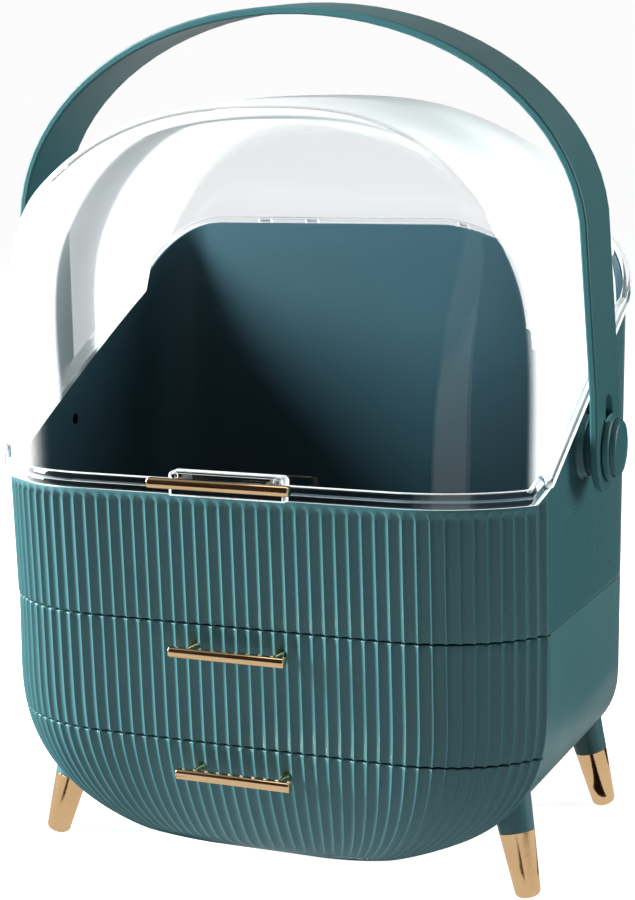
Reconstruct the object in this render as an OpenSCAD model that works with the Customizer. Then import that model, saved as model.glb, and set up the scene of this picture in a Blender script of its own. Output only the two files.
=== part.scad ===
// Dustproof makeup organizer: a fluted two-drawer case on four splayed legs, with an open
// compartment under a clear hinged dome and a carrying handle that swings and drops.
// Drawing frame: X across, Y from the flat front at the rim (0) to the back, Z up from the floor.
// The whole part is shifted in Y at the end so that the origin is the bottom centre of its box.

/* [Body] */
// Width over the side walls
body_w = 280; // [272:1:290]
// Depth from the flat front at the rim to the back
body_d = 212; // [200:1:225]
// Width of the flat middle of the front, seen from above
front_flat_w = 154; // [146:1:160]
// Angle through which each rounded front corner turns, seen from above
front_corner_turn = 62.5; // [60:0.5:65]
// Radius of the rounded back corners, seen from above
back_corner_r = 32; // [24:1:36]
// How far the front leans back for each millimetre of height going down
front_lean = 0.075; // [0.065:0.005:0.08]
// Height of the front rim above the floor
rim_z = 195; // [188:1:202]
// Height of the seam between the upper compartment and the drawers
seam_upper_z = 132; // [126:1:138]
// Height of the seam between the two drawers
seam_lower_z = 73; // [68:1:78]
// Height of the underside of the bowl above the floor
bowl_bottom_z = 12; // [10:1:16]
// Height at which the side walls start to curve under
side_curve_z = 99; // [92:1:106]
// Squareness of the curve of the sides, 2 is an ellipse
side_power = 2.56; // [2.3:0.02:2.8]
// How far the front of the bowl tucks back below the lower seam
bowl_recess = 29; // [25:1:31]
// Squareness of the curve of the bowl's front
bowl_power = 1.6; // [1.4:0.05:2]
// Thickness of the moulded walls
wall = 2.6; // [2:0.1:3.2]
// Gap left at every seam between two mouldings
seam_gap = 0.8; // [0.4:0.1:1.2]
// Number of hollow flutes across the front
flute_count = 48; // [40:1:54]
// Depth of the flutes
flute_depth = 1.8; // [1:0.1:2.2]
// Height of the plain band above the flutes of the upper compartment
flute_band_h = 3.4; // [2:0.2:6]

/* [Upper compartment] */
// Height of the back panel above the floor
panel_z = 314; // [306:1:320]
// Radius of the back panel's upper corners, seen from the front
panel_corner_r = 38; // [30:1:44]
// Height of the side rim just behind the front corner
side_rim_z = 202; // [199:1:207]
// Rise of the sloping side rim for each millimetre of depth
side_rim_slope = 0.519; // [0.48:0.005:0.525]

/* [Lid] */
// Height of the crown of the clear dome above the floor
lid_crown_z = 383; // [377:1:384]
// Height of the top edge of the front window above the floor
lid_window_z = 373; // [366:1:376]
// Height at which the dome's sides start to round over
lid_shoulder_z = 240; // [235:1:250]
// Squareness of the dome's arch, 2 is an ellipse
lid_power = 2.5; // [2.3:0.05:2.7]
// Thickness of the dome's wall
lid_wall = 2.2; // [1.6:0.1:2.8]
// Height of the flange round the dome's lower edge
flange_h = 7; // [5:0.5:8]
// Height of the flange where it passes over the back panel
rear_flange_h = 3; // [2.6:0.1:3.4]
// How far the flange stands out from the dome's wall
flange_out = 2.5; // [2:0.1:2.6]
// Gap between the flange and the rim it rests on
flange_gap = 0.3; // [0.2:0.05:0.5]
// How far the front window leans back, as a part of the square of its height
window_lean = 0.00075; // [0.0006:0.00005:0.0009]
// Distance of the dome's highest line behind the flat front
crown_y = 125; // [115:1:135]
// Width of the tab that carries the lid's pull
tab_w = 58; // [50:1:64]
// How far the tab stands out from the front of the dome
tab_out = 6; // [4:0.5:7]
// Height of the top of the tab above the front rim
tab_h = 12; // [10:0.5:14]

/* [Hinge] */
// Radius of the hinge knuckles
knuckle_r = 4; // [3.4:0.1:4.4]
// Radius of the hinge pins
hinge_pin_r = 1.5; // [1.2:0.1:1.8]
// Distance from the middle of the lid to the middle of each hinge
hinge_x = 60; // [50:1:75]
// Length of the case's knuckle in each hinge
case_knuckle_l = 20; // [14:1:24]
// Length of each of the lid's two knuckles in a hinge
lid_knuckle_l = 8; // [6:1:10]
// Depth of the hinge axis below the top of the back panel
hinge_drop = 6; // [5:0.5:8]

/* [Handle] */
// Height of the handle's pivot above the floor
pivot_z = 213; // [211:1:216]
// Distance of the pivot behind the flat front
pivot_y = 101; // [98:1:106]
// How far the handle's legs stand out from the side walls at the pivots
handle_out = 12.6; // [12:0.2:14]
// How far the handle stands out from the side walls where the arch begins
arch_out = 9; // [8.8:0.1:9.4]
// Length of each leg from the pivot to the start of the arch
leg_len = 102.5; // [98:0.5:106]
// Height of the arch above its two ends
arch_h = 109; // [106:1:114]
// Width of the strap
strap_w = 43.4; // [40:0.2:44]
// Thickness of the strap
strap_t = 3.8; // [3:0.1:3.8]
// Angle by which the handle leans forward when the box stands ready
handle_lean = 6.35; // [4:0.05:8]
// How far the handle drops along its slots
drop_travel = 14; // [10:1:16]
// Width of the slots
slot_w = 17; // [14:0.5:18]
// Length of the slider that fills each slot
slider_len = 22; // [18:1:24]
// Radius of the disc outside the strap
disc_r = 16; // [14.5:0.5:18]
// Thickness of the disc
disc_t = 3.2; // [2.4:0.2:4]
// Radius of the domed cap on the disc
cap_r = 13.6; // [11:0.2:13.8]
// Height of the cap's dome
cap_h = 3.4; // [2:0.2:4.4]
// Radius of the pivot pins
pivot_pin_r = 3; // [2.4:0.1:4]
// Running gap of the sliding and turning fits
run_gap = 0.3; // [0.2:0.05:0.4]

/* [Pulls] */
// Length of the lid's pull
lid_pull_l = 71; // [64:1:78]
// Length of each drawer's pull
drawer_pull_l = 59; // [52:1:66]
// Height of the pull bars
bar_h = 4.8; // [4:0.2:5.6]
// Distance from a drawer's front to the middle of the bar before it
pull_reach = 12; // [10:0.5:13]
// Distance from the lid's tab to the middle of the bar before it
lid_pull_reach = 8; // [6:0.5:9]
// Radius of the posts behind the bars
post_r = 2.2; // [1.8:0.1:2.4]
// Distance between the two posts of each pull
post_spacing = 44; // [36:1:48]
// Height of the upper drawer's pull above the floor
upper_pull_z = 121; // [114:1:123]
// Height of the lower drawer's pull above the floor
lower_pull_z = 60; // [54:1:62]
// Radius of the screws' shanks
screw_r = 1.2; // [1:0.1:1.5]
// Radius of the screws' heads
screw_head_r = 2.8; // [2.4:0.1:3.2]
// Thickness of the screws' heads
screw_head_t = 1.6; // [1.2:0.1:2]

/* [Drawers] */
// Half the width of the upper drawer's tray
tray_half_w = 125; // [118:1:126]
// Backward lean of the lower tray's front wall in degrees
tray_lean = 24; // [22:0.5:26]
// Thickness of the trays' walls
tray_wall = 1.8; // [1.4:0.1:2.4]
// Space between the outside of the case and the lower drawer's tray
bowl_inset = 5; // [4.4:0.1:6]
// Height of the runners under the trays
runner_h = 3; // [2.8:0.1:4]
// Space left above each tray
tray_headroom = 5; // [3:0.5:8]

/* [Legs] */
// Radius of a leg where it meets the ferrule
leg_r = 8.6; // [8:0.1:9.4]
// Radius of the ferrule near the floor
foot_r = 6.3; // [5.4:0.1:7]
// Rounding of the ferrule's end
foot_round = 3.6; // [2.5:0.1:4.4]
// Height of the top of the ferrules above the floor
ferrule_z = 31; // [28:1:33]
// Height to which the legs' cones would run up
leg_top_z = 55; // [53:0.5:57]
// Distance of the feet in from the side walls
foot_in = 11.5; // [10:0.5:16]
// Distance of the front feet behind the end of the front's round corners
front_foot_in = 18.8; // [18:0.2:23]
// Distance of the back feet in from the back
back_foot_in = 6; // [5:0.5:12]
// Sideways splay of the legs in degrees
leg_splay = 13.5; // [11:0.5:15]
// Splay of the legs towards the front or the back in degrees
leg_lean = 6.5; // [4:0.5:8]

/* [Hidden] */
$fn = 64;
eps = 0.01;
half_w = body_w / 2;
flat_half = front_flat_w / 2;
// plan of the front: a flat middle, then an arc that ends at the side wall
front_corner_r = (half_w - flat_half) / sin(front_corner_turn);
corner_depth = front_corner_r * (1 - cos(front_corner_turn));
front_half_len = flat_half + front_corner_r * front_corner_turn * PI / 180;
lean_angle = atan(front_lean);
flute_margin = 0.6;
flute_pitch = 2 * (front_half_len - flute_margin) / flute_count;
pts_per_flute = 4;
shell_t = wall + flute_depth;
lower_front_z = seam_lower_z - seam_gap / 2;
upper_front_z = seam_upper_z - seam_gap / 2;
floor_z = seam_upper_z + seam_gap / 2;
// the plane where the drawers' fronts end and the lower case begins
edge_side = 2.5;
split_y = corner_depth + front_lean * (rim_z - seam_upper_z) + edge_side + 1;
panel_base_z = panel_z - panel_corner_r;
side_rim_end_y = corner_depth + (panel_base_z - side_rim_z) / side_rim_slope;
hinge_y = body_d + knuckle_r + run_gap;
hinge_z = panel_z - hinge_drop;
hinge_web = 2 * hinge_pin_r + 2;
slot_len = slider_len + drop_travel + 2 * run_gap;
straight_leg = slot_len - slider_len / 2 + 3;
handle_half_w = half_w + handle_out;
arch_half_w = half_w + arch_out;
strap_in = handle_half_w - strap_t;
foot_x = half_w - foot_in;
front_foot_y = corner_depth + front_foot_in;
back_foot_y = body_d - back_foot_in;
boss_x = half_w + 4;
disc_x = handle_half_w + run_gap;
cap_x = disc_x + disc_t;
lid_pull_y = -tab_out - lid_pull_reach;
// the part's box in Y runs from the lid's bar in front to the hinge knuckles behind
y_front = lid_pull_y - bar_h / 2;
y_back = hinge_y + knuckle_r;
y_mid = (y_front + y_back) / 2;
post_xs = [-post_spacing / 2, post_spacing / 2];
seat_depth = flute_depth + 0.2;

teal = [0.13, 0.32, 0.34];
teal_dark = [0.10, 0.25, 0.27];
gold = [0.86, 0.64, 0.36];
steel = [0.70, 0.71, 0.73];
clear = [0.86, 0.92, 0.95, 0.35];

// ---------- outlines ----------

// half width of the case at height z
function side_x(z) =
    let(q = min(1, max(0, (side_curve_z - z) / (side_curve_z - bowl_bottom_z + 1))))
    half_w * pow(1 - pow(q, side_power), 1 / side_power);

// how far the flat middle of the front lies back at height z
function front_y(z) =
    let(q = min(1, max(0, (seam_lower_z - z) / (seam_lower_z - bowl_bottom_z + 1))))
    front_lean * (rim_z - z) + bowl_recess * (1 - pow(1 - pow(q, bowl_power), 1 / bowl_power));

// a point of the front's plan at arc length s from the middle, moved in by inset
function plan_point(s, inset = 0) =
    let(t = max(0, abs(s) - flat_half) / front_corner_r * 180 / PI,
        x = min(abs(s), flat_half) + (front_corner_r - inset) * sin(t),
        y = front_corner_r - (front_corner_r - inset) * cos(t))
    [s < 0 ? -x : x, y];

// stations along the front, four to a flute, and a plain set for the smooth insides
fluted = [-front_half_len, each [for (i = [0 : flute_count * pts_per_flute])
    -front_half_len + flute_margin + i * flute_pitch / pts_per_flute], front_half_len];
smooth = [each [for (i = [0 : 12]) -front_half_len + (front_half_len - flat_half) * i / 12],
    each [for (i = [0 : 12]) flat_half + (front_half_len - flat_half) * i / 12]];

// depth of the surface below the ridges at station i: a row of round hollows between sharp ridges
function hollow(i) =
    let(u = ((i - 1) % pts_per_flute) / pts_per_flute)
    i == 0 || i == len(fluted) - 1 ? 0 : flute_depth * (1 - pow(2 * u - 1, 2));

// a plan point moved to height z of the drawers, where the plan draws in with the bowl
function bowl_point(p, z) =
    let(u = p[0] / half_w, k = min(0.5, 1 - side_x(z) / half_w),
        squeeze = (split_y - edge_side - front_y(z)) / corner_depth)
    [side_x(z) * u * (1 - k * abs(u)) / (1 - k), p[1] * squeeze + front_y(z)];

// triangles between two rows of points that run side by side, a outside and b inside
function zip_rows(a, na, b, nb) = [for (i = [0 : na - 2])
    let(j = round(i * (nb - 1) / (na - 1)), k = round((i + 1) * (nb - 1) / (na - 1)))
    each concat([[a + i + 1, a + i, b + j]], k > j ? [[a + i + 1, b + j, b + k]] : [])];

function turned(faces) = [for (f = faces) [for (i = [len(f) - 1 : -1 : 0]) f[i]]];
function closed_row(row, back) = concat([[row[0][0], back]], row, [[-row[0][0], back]]);
function raised(row, z) = [for (p = row) [p[0], p[1], z]];

// a shell open at the top and the back: a fluted outside and a smooth inside with a floor
module open_shell(levels, inner_levels, back) {
    top = len(levels) - 1;
    inner_s = [for (i = [0 : 32]) front_half_len * (i / 16 - 1)];
    outer = [for (z = levels) raised(closed_row([for (i = [0 : len(fluted) - 1])
        bowl_point(plan_point(fluted[i], hollow(i)), z)], back), z)];
    inner = [for (z = inner_levels) raised(closed_row([for (s = inner_s)
        bowl_point(plan_point(s, shell_t), max(bowl_bottom_z, z - 0.8 * shell_t))], back), z)];
    base = raised(closed_row([for (s = inner_s)
        bowl_point(plan_point(s, shell_t), levels[0])], back), levels[0]);
    n = len(outer[0]);
    m = len(base);
    first = n * (top + 1);
    under = first + m * (top + 1);
    polyhedron(points = concat([for (row = outer) each row], [for (row = inner) each row], base),
        faces = concat(
            // outside, inside, top edge, underside with its ring, floor
            [for (r = [0 : top - 1], i = [0 : n - 2]) let(a = r * n + i) [a, a + n, a + n + 1, a + 1]],
            [for (r = [0 : top - 1], i = [0 : m - 2]) let(a = first + r * m + i)
                [a + 1, a + m + 1, a + m, a]],
            zip_rows(top * n, n, first + top * m, m),
            turned(zip_rows(0, n, under, m)),
            [[for (i = [0 : m - 1]) under + i], [for (i = [m - 1 : -1 : 0]) first + i]],
            // back edges of the two ends and of the floor
            [for (r = [0 : top - 1]) let(a = r * n, b = first + r * m) [a + n, a, b, b + m]],
            [for (r = [0 : top - 1]) let(a = r * n + n - 1, b = first + r * m + m - 1)
                [a, a + n, b + m, b]],
            [[0, under, first], [under, under + m - 1, first + m - 1, first],
                [under + m - 1, n - 1, first + m - 1]]),
        convexity = 10);
}

// the front's plan seen from above: flutes or a smooth inset curve, closed at depth back
module front_2d(back, inset = 0, flutes = false) {
    c = cos(lean_angle);
    line = flutes ? [for (i = [0 : len(fluted) - 1]) plan_point(fluted[i], inset + hollow(i))]
        : [for (s = smooth) plan_point(s, inset)];
    n = len(line) - 1;
    polygon(concat([[line[0][0], back]], [for (p = line) [p[0], p[1] * c]], [[line[n][0], back]]));
}

// plan of the whole body: front curve, sides and rounded back corners, moved in by inset
module plan_2d(inset = 0) {
    arc = [for (i = [0 : 8]) let(a = i / 8 * 90)
        [half_w - back_corner_r + (back_corner_r - inset) * cos(a),
         body_d - back_corner_r + (back_corner_r - inset) * sin(a)]];
    polygon(concat([for (s = smooth) plan_point(s, inset)], arc,
        [for (i = [8 : -1 : 0]) [-arc[i][0], arc[i][1]]]));
}

// extrude a drawing made in X and Z along Y, between two depths
module along_y(y0, y1) {
    translate([0, y1, 0]) rotate([90, 0, 0]) linear_extrude(y1 - y0) children();
}

// extrude a drawing made in Y and Z along X, between two places
module along_x(x0, x1) {
    translate([x0, 0, 0]) rotate([90, 0, 90]) linear_extrude(x1 - x0) children();
}

// extrude a plan drawing upwards along the lean of the front, between two heights
module leaning(z0, z1) {
    intersection() {
        translate([0, 0, rim_z]) rotate([lean_angle, 0, 0]) translate([0, 0, z0 - rim_z - 20])
            linear_extrude(z1 - z0 + 40) children();
        translate([-half_w - 10, -30, z0]) cube([body_w + 20, body_d, z1 - z0]);
    }
}

// outline of the case seen from the front, moved in by inset, between two heights
module side_outline_2d(inset, floor_at, top) {
    low = max(bowl_bottom_z + inset, floor_at);
    steps = 22;
    right = [for (i = [0 : steps]) let(z = low + (min(side_curve_z, top) - low) * pow(i / steps, 1.7))
        [side_x(max(z - inset, bowl_bottom_z)) - inset, z]];
    cap = top > side_curve_z ? [[half_w - inset, top]] : [];
    polygon(concat(right, cap, [for (p = cap) [-p[0], p[1]]],
        [for (i = [steps : -1 : 0]) [-right[i][0], right[i][1]]]));
}

// outline of the back panel seen from the front, grown by grow
module panel_2d(grow = 0) {
    r = panel_corner_r + grow;
    right = [for (i = [0 : 12]) let(a = i / 12 * 90)
        [half_w - panel_corner_r + r * cos(a), panel_base_z + r * sin(a)]];
    polygon(concat([[half_w + grow, 0]], right, [for (i = [12 : -1 : 0]) [-right[i][0], right[i][1]]],
        [[-half_w - grow, 0]]));
}

// space under the rim, level at the front, sloping at the sides, open to the panel's arch behind
module under_rim(up = 0) {
    along_x(-half_w - 20, half_w + 20) polygon([[-40, 0], [-40, rim_z + up],
        [corner_depth - 7, rim_z + up], [corner_depth, side_rim_z + up],
        [side_rim_end_y, panel_base_z + up], [side_rim_end_y, panel_z + 60],
        [body_d + 30, panel_z + 60], [body_d + 30, 0]]);
}

module mirrored() {
    children();
    mirror([1, 0, 0]) children();
}

// ---------- case ----------

case_boss_r = 4.6;
case_boss_h = 24;
case_screw_x = half_w - wall - case_boss_r + 0.3;
case_screw_ys = [split_y + 16, body_d - back_corner_r - 4];

module case_screw_places() {
    for (y = case_screw_ys) mirrored() translate([case_screw_x, y, floor_z]) children();
}

module hinge_barrel(x0, x1) {
    translate([x0, hinge_y, hinge_z]) rotate([0, 90, 0]) cylinder(r = knuckle_r, h = x1 - x0);
}

module hinge_bore(clearance) {
    mirrored() translate([hinge_x - case_knuckle_l / 2 - lid_knuckle_l - 1, hinge_y, hinge_z])
        rotate([0, 90, 0])
            cylinder(r = hinge_pin_r + clearance, h = case_knuckle_l + 2 * lid_knuckle_l + 2);
}

module at_pivot(x) {
    translate([x, pivot_y, pivot_z]) rotate([0, 90, 0]) children();
}

module upper_case() color(teal) difference() {
    union() {
        // side walls, back panel and floor behind the curved front
        intersection() {
            difference() {
                translate([0, 0, floor_z]) linear_extrude(panel_z) plan_2d();
                translate([0, 0, floor_z + wall]) linear_extrude(panel_z) plan_2d(wall);
            }
            under_rim();
            along_y(corner_depth + front_lean * (rim_z - floor_z), body_d + 1) panel_2d();
        }
        // floor under the curved front
        translate([0, front_y(floor_z), floor_z]) linear_extrude(wall)
            front_2d(corner_depth + wall, shell_t - 0.5);
        // curved front wall: flutes, and a plain band along the rim
        difference() {
            union() {
                leaning(floor_z, rim_z - flute_band_h) front_2d(corner_depth + 4, 0, true);
                leaning(rim_z - flute_band_h, rim_z) front_2d(corner_depth + 4);
            }
            leaning(floor_z - 1, rim_z + 1) front_2d(corner_depth + 30, shell_t);
        }
        // the front corner of each side wall, from the leaning front back to the straight wall
        mirrored() along_x(half_w - wall, half_w) polygon([
            [corner_depth + front_lean * (rim_z - floor_z) + 1, floor_z],
            [corner_depth + front_lean * (rim_z - floor_z) + 1, side_rim_z],
            [corner_depth, side_rim_z], [corner_depth, rim_z],
            [corner_depth + front_lean * (rim_z - floor_z), floor_z]]);
        // knuckles of the lid's hinges and the webs that join them to the back panel
        mirrored() {
            hinge_barrel(hinge_x - case_knuckle_l / 2, hinge_x + case_knuckle_l / 2);
            translate([hinge_x - case_knuckle_l / 2, body_d - wall / 2, hinge_z - hinge_web / 2])
                cube([case_knuckle_l, hinge_y - body_d + wall / 2, hinge_web]);
        }
        // bosses of the handle's pivots
        mirrored() at_pivot(half_w - wall) cylinder(r = disc_r - 1, h = boss_x - half_w + wall);
    }
    hinge_bore(0);
    mirrored() at_pivot(half_w - wall - 1) cylinder(r = pivot_pin_r, h = 12);
    case_screw_places() cylinder(r = screw_r, h = 20, center = true);
}

// everything the lower case fills, from the drawers' split plane to the back
module case_outer(top) {
    intersection() {
        along_y(split_y, body_d + 1) side_outline_2d(0, 0, top);
        linear_extrude(top + 1) plan_2d();
    }
}

runner_x = 55;
lower_tray_z = bowl_bottom_z + wall + runner_h + run_gap;
shelf_top_z = seam_lower_z + wall / 2;
upper_tray_z = shelf_top_z + runner_h + run_gap;

module lower_case() color(teal) difference() {
    union() {
        difference() {
            case_outer(floor_z);
            intersection() {
                along_y(split_y - 1, body_d - wall) side_outline_2d(wall, 0, floor_z + 10);
                linear_extrude(floor_z + 20) plan_2d(wall);
            }
        }
        // ledges that carry the shelf between the drawers
        mirrored() translate([side_x(seam_lower_z) - wall - 5, split_y + 2,
                seam_lower_z - wall / 2 - 2.4])
            cube([5 + wall / 2, body_d - split_y - back_corner_r, 2.4]);
        // runners under the lower drawer
        mirrored() translate([runner_x - 3, split_y + 2, bowl_bottom_z + wall / 2])
            cube([6, body_d - split_y - wall - 1, runner_h + wall / 2]);
        // bosses of the case screws, on the side walls
        intersection() {
            case_screw_places() translate([0, 0, -case_boss_h]) {
                cylinder(r = case_boss_r, h = case_boss_h);
                translate([0, -case_boss_r, 0])
                    cube([case_boss_r, 2 * case_boss_r, case_boss_h]);
            }
            case_outer(floor_z);
        }
    }
    case_screw_places() cylinder(r = screw_r, h = 2 * case_boss_h - 12, center = true);
    leg_studs();
}

side_slack = half_w - side_x(seam_lower_z - 2 * wall) + run_gap;

module drawer_shelf() color(teal_dark) {
    translate([0, 0, seam_lower_z - wall / 2]) linear_extrude(wall) intersection() {
        plan_2d(wall + side_slack);
        translate([-half_w, split_y + 2]) square([body_w, body_d]);
    }
    mirrored() translate([runner_x - 3, split_y + 2, shelf_top_z - eps])
        cube([6, body_d - split_y - wall - 6, runner_h + eps]);
}

// ---------- drawers ----------

// a drawer's front, with a flat edge against the case and a tongue under the tray
module drawer_front(levels, inner_levels, pull_z, tongue_z) {
    difference() {
        union() {
            open_shell(levels, inner_levels, split_y - run_gap);
            translate([-tongue_w / 2, split_y - 8, tongue_z - tongue_t]) cube([tongue_w, tongue_l, tongue_t]);
        }
        pull_seats(pull_z);
        tray_screw_holes(tongue_z);
    }
}

tongue_t = 2.2;
tongue_w = 60;
tongue_l = 28;

module tray_screw_holes(z) {
    for (x = [-18, 18]) translate([x, split_y + 14, z - 10]) cylinder(r = screw_r, h = 20);
}

module tray_screws(z) color(steel) for (x = [-18, 18]) translate([x, split_y + 14, z]) {
    translate([0, 0, -tongue_t]) cylinder(r = screw_r, h = tongue_t + tray_wall + eps);
    translate([0, 0, tray_wall]) cylinder(r = screw_head_r, h = screw_head_t);
}

// holes for a pull's screws, with flat seats for its posts outside and the heads inside
module pull_seats(z) {
    for (x = post_xs) translate([x, 0, z]) rotate([-90, 0, 0]) {
        translate([0, 0, -20]) cylinder(r = post_r, h = 20 + front_y(z) + seat_depth);
        cylinder(r = screw_r, h = front_y(z) + shell_t + 2);
        translate([0, 0, front_y(z) + shell_t - 0.5]) cylinder(r = screw_head_r + 0.3, h = 12);
    }
}

upper_levels = [seam_lower_z + seam_gap / 2, 86, side_curve_z, upper_front_z];
upper_inner_levels = [seam_lower_z + seam_gap / 2 + wall, 88, side_curve_z + 3, upper_front_z];
lower_levels = [bowl_bottom_z, 14, 18, 24, 32, 42, 53, 64, lower_front_z];
lower_inner_levels = [bowl_bottom_z + wall, 18, 22, 28, 36, 46, 56, 65, lower_front_z];

module upper_drawer_front() color(teal)
    drawer_front(upper_levels, upper_inner_levels, upper_pull_z, upper_tray_z);

module lower_drawer_front() color(teal)
    drawer_front(lower_levels, lower_inner_levels, lower_pull_z, lower_tray_z);

upper_tray_top = floor_z - tray_headroom;
tray_back = body_d - wall - 4;

module upper_tray_solid(inset, floor_at) {
    translate([0, front_y(upper_tray_z), floor_at]) linear_extrude(upper_tray_top - floor_at + inset)
        intersection() {
            front_2d(tray_back - inset - front_y(upper_tray_z), shell_t + run_gap + 0.3 + inset);
            translate([inset - tray_half_w, 0]) square([2 * (tray_half_w - inset), body_d]);
            translate([0, -front_y(upper_tray_z)]) plan_2d(wall + tray_wall + inset);
        }
}

module upper_drawer_tray() color(teal_dark) difference() {
    upper_tray_solid(0, upper_tray_z);
    upper_tray_solid(tray_wall, upper_tray_z + tray_wall);
    tray_screw_holes(upper_tray_z);
}

lower_tray_top = seam_lower_z - wall / 2 - tray_headroom;

module lower_tray_solid(inset, floor_at) {
    intersection() {
        along_y(0, tray_back - inset)
            side_outline_2d(bowl_inset + inset, floor_at, lower_tray_top + inset);
        linear_extrude(seam_lower_z) plan_2d(wall + tray_wall + inset);
        // the front wall leans back with the bowl
        translate([0, front_y(lower_tray_top) + 4, lower_tray_top]) rotate([tray_lean, 0, 0])
            translate([0, 0, -lower_tray_top - 10]) linear_extrude(lower_tray_top + 30)
                front_2d(body_d, shell_t + 1 + inset);
    }
}

module lower_drawer_tray() color(teal_dark) difference() {
    lower_tray_solid(0, lower_tray_z);
    lower_tray_solid(tray_wall, lower_tray_z + tray_wall);
    tray_screw_holes(lower_tray_z);
}

module upper_tray_screws() tray_screws(upper_tray_z);
module lower_tray_screws() tray_screws(lower_tray_z);

// ---------- pulls ----------

// a bar with a rounded face and a flat back, on two posts that end at depth surface
module pull(length, y, surface, z) color(gold) difference() {
    translate([0, y, z]) {
        rotate([0, 90, 0]) cylinder(r = bar_h / 2, h = length, center = true);
        translate([-length / 2, 0, -bar_h / 2]) cube([length, bar_h * 0.3, bar_h]);
        for (x = post_xs) translate([x, 0, 0]) rotate([-90, 0, 0])
            cylinder(r = post_r, h = surface - y);
    }
    for (x = post_xs) translate([x, y + bar_h / 2, z]) rotate([-90, 0, 0])
        cylinder(r = screw_r, h = 30);
}

module pull_screws(y, seat, z) color(steel)
    for (x = post_xs) translate([x, y + bar_h / 2, z]) rotate([-90, 0, 0]) {
        cylinder(r = screw_r, h = seat - y - bar_h / 2 + eps);
        translate([0, 0, seat - y - bar_h / 2]) cylinder(r = screw_head_r, h = screw_head_t);
    }

lid_pull_z = rim_z + flange_gap + flange_h;
lid_seat_y = lid_wall - 0.4;

module upper_drawer_pull() pull(drawer_pull_l, front_y(upper_pull_z) - pull_reach,
    front_y(upper_pull_z) + seat_depth, upper_pull_z);
module lower_drawer_pull() pull(drawer_pull_l, front_y(lower_pull_z) - pull_reach,
    front_y(lower_pull_z) + seat_depth, lower_pull_z);
module lid_pull() pull(lid_pull_l, lid_pull_y, -tab_out, lid_pull_z);

module upper_pull_screws() pull_screws(front_y(upper_pull_z) - pull_reach,
    front_y(upper_pull_z) + shell_t - 0.5, upper_pull_z);
module lower_pull_screws() pull_screws(front_y(lower_pull_z) - pull_reach,
    front_y(lower_pull_z) + shell_t - 0.5, lower_pull_z);
module lid_pull_screws() pull_screws(lid_pull_y, lid_seat_y, lid_pull_z);

// ---------- lid ----------

window_y = window_lean * pow(lid_window_z - rim_z - 5, 2);
lid_rise = atan((lid_crown_z - lid_window_z) / (crown_y - window_y));

// side view of the dome, moved in by inset: leaning window, then the back's rounded fall
function dome_side(inset) = let(top = lid_crown_z - inset, base = panel_z - 20) concat(
    [for (i = [0 : 12]) let(z = rim_z - 20 + (lid_crown_z - rim_z + 22) * i / 12)
        [window_lean * pow(max(0, z - rim_z - 5), 2) + inset, z]],
    [for (i = [0 : 12]) let(a = 90 * i / 12)
        [crown_y + (body_d - inset - crown_y) * sin(a),
         base + (top - base) * cos(a)]],
    [[body_d - inset, rim_z - 20]]);

module dome_arch_2d(inset) {
    a = half_w - inset;
    b = lid_crown_z - lid_shoulder_z - inset;
    steps = 36;
    polygon(concat([[a, rim_z - 20]],
        [for (i = [0 : steps]) let(c = cos(180 * i / steps), s = sin(180 * i / steps))
            [a * sign(c) * pow(abs(c), 2 / lid_power), lid_shoulder_z + b * pow(s, 2 / lid_power)]],
        [[-a, rim_z - 20]]));
}

// the arch drawn along the depth of the box, tilted about the crown
module tilted_arch(inset, tilt) {
    translate([0, crown_y, lid_crown_z]) rotate([tilt, 0, 0]) translate([0, -crown_y, -lid_crown_z])
        along_y(-60, body_d + 60) dome_arch_2d(inset);
}

// the arch rises gently from the window to the crown and falls as gently behind it
module dome_solid(inset) {
    intersection() {
        translate([0, 0, rim_z - 10]) linear_extrude(lid_crown_z) plan_2d(inset);
        tilted_arch(inset, lid_rise);
        tilted_arch(inset, -lid_rise);
        along_x(-half_w, half_w) polygon(dome_side(inset));
    }
}

// everything above the rim line, level at the front, sloping at the sides, arched at the back
module above_rim(up) {
    difference() {
        translate([-half_w - 20, -30, rim_z - 30]) cube([body_w + 40, body_d + 60, lid_crown_z]);
        intersection() {
            under_rim(up);
            along_y(-40, body_d + 40) {
                panel_2d(up);
                translate([-half_w - 15, 0]) square([body_w + 30, panel_base_z]);
            }
        }
    }
}

module flange() {
    intersection() {
        difference() {
            translate([0, 0, rim_z - 5]) linear_extrude(panel_z) plan_2d(-flange_out);
            translate([0, 0, rim_z - 6]) linear_extrude(panel_z + 10) plan_2d(lid_wall);
        }
        above_rim(flange_gap);
        under_rim(flange_gap + flange_h);
        along_y(-20, body_d + 20) panel_2d(flange_gap + rear_flange_h);
    }
}

module lid() color(clear) difference() {
    union() {
        intersection() {
            difference() {
                dome_solid(0);
                dome_solid(lid_wall);
            }
            above_rim(flange_gap);
        }
        flange();
        // tab that carries the pull
        translate([-tab_w / 2, -tab_out, rim_z + flange_gap])
            cube([tab_w, tab_out + lid_wall / 2, tab_h - flange_gap]);
        // knuckles either side of each of the case's knuckles, hung from the flange by webs
        mirrored() for (x = [hinge_x - case_knuckle_l / 2 - run_gap - lid_knuckle_l,
                hinge_x + case_knuckle_l / 2 + run_gap]) {
            hinge_barrel(x, x + lid_knuckle_l);
            translate([x, body_d + run_gap, hinge_z])
                cube([lid_knuckle_l, hinge_y - body_d - run_gap,
                    hinge_drop + flange_gap + rear_flange_h / 2]);
        }
    }
    hinge_bore(0.05);
    for (x = post_xs) translate([x, -20, lid_pull_z]) rotate([-90, 0, 0]) {
        cylinder(r = screw_r, h = 30);
        translate([0, 0, 20 + lid_seat_y]) cylinder(r = screw_head_r + 0.3, h = 8);
    }
}

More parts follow.
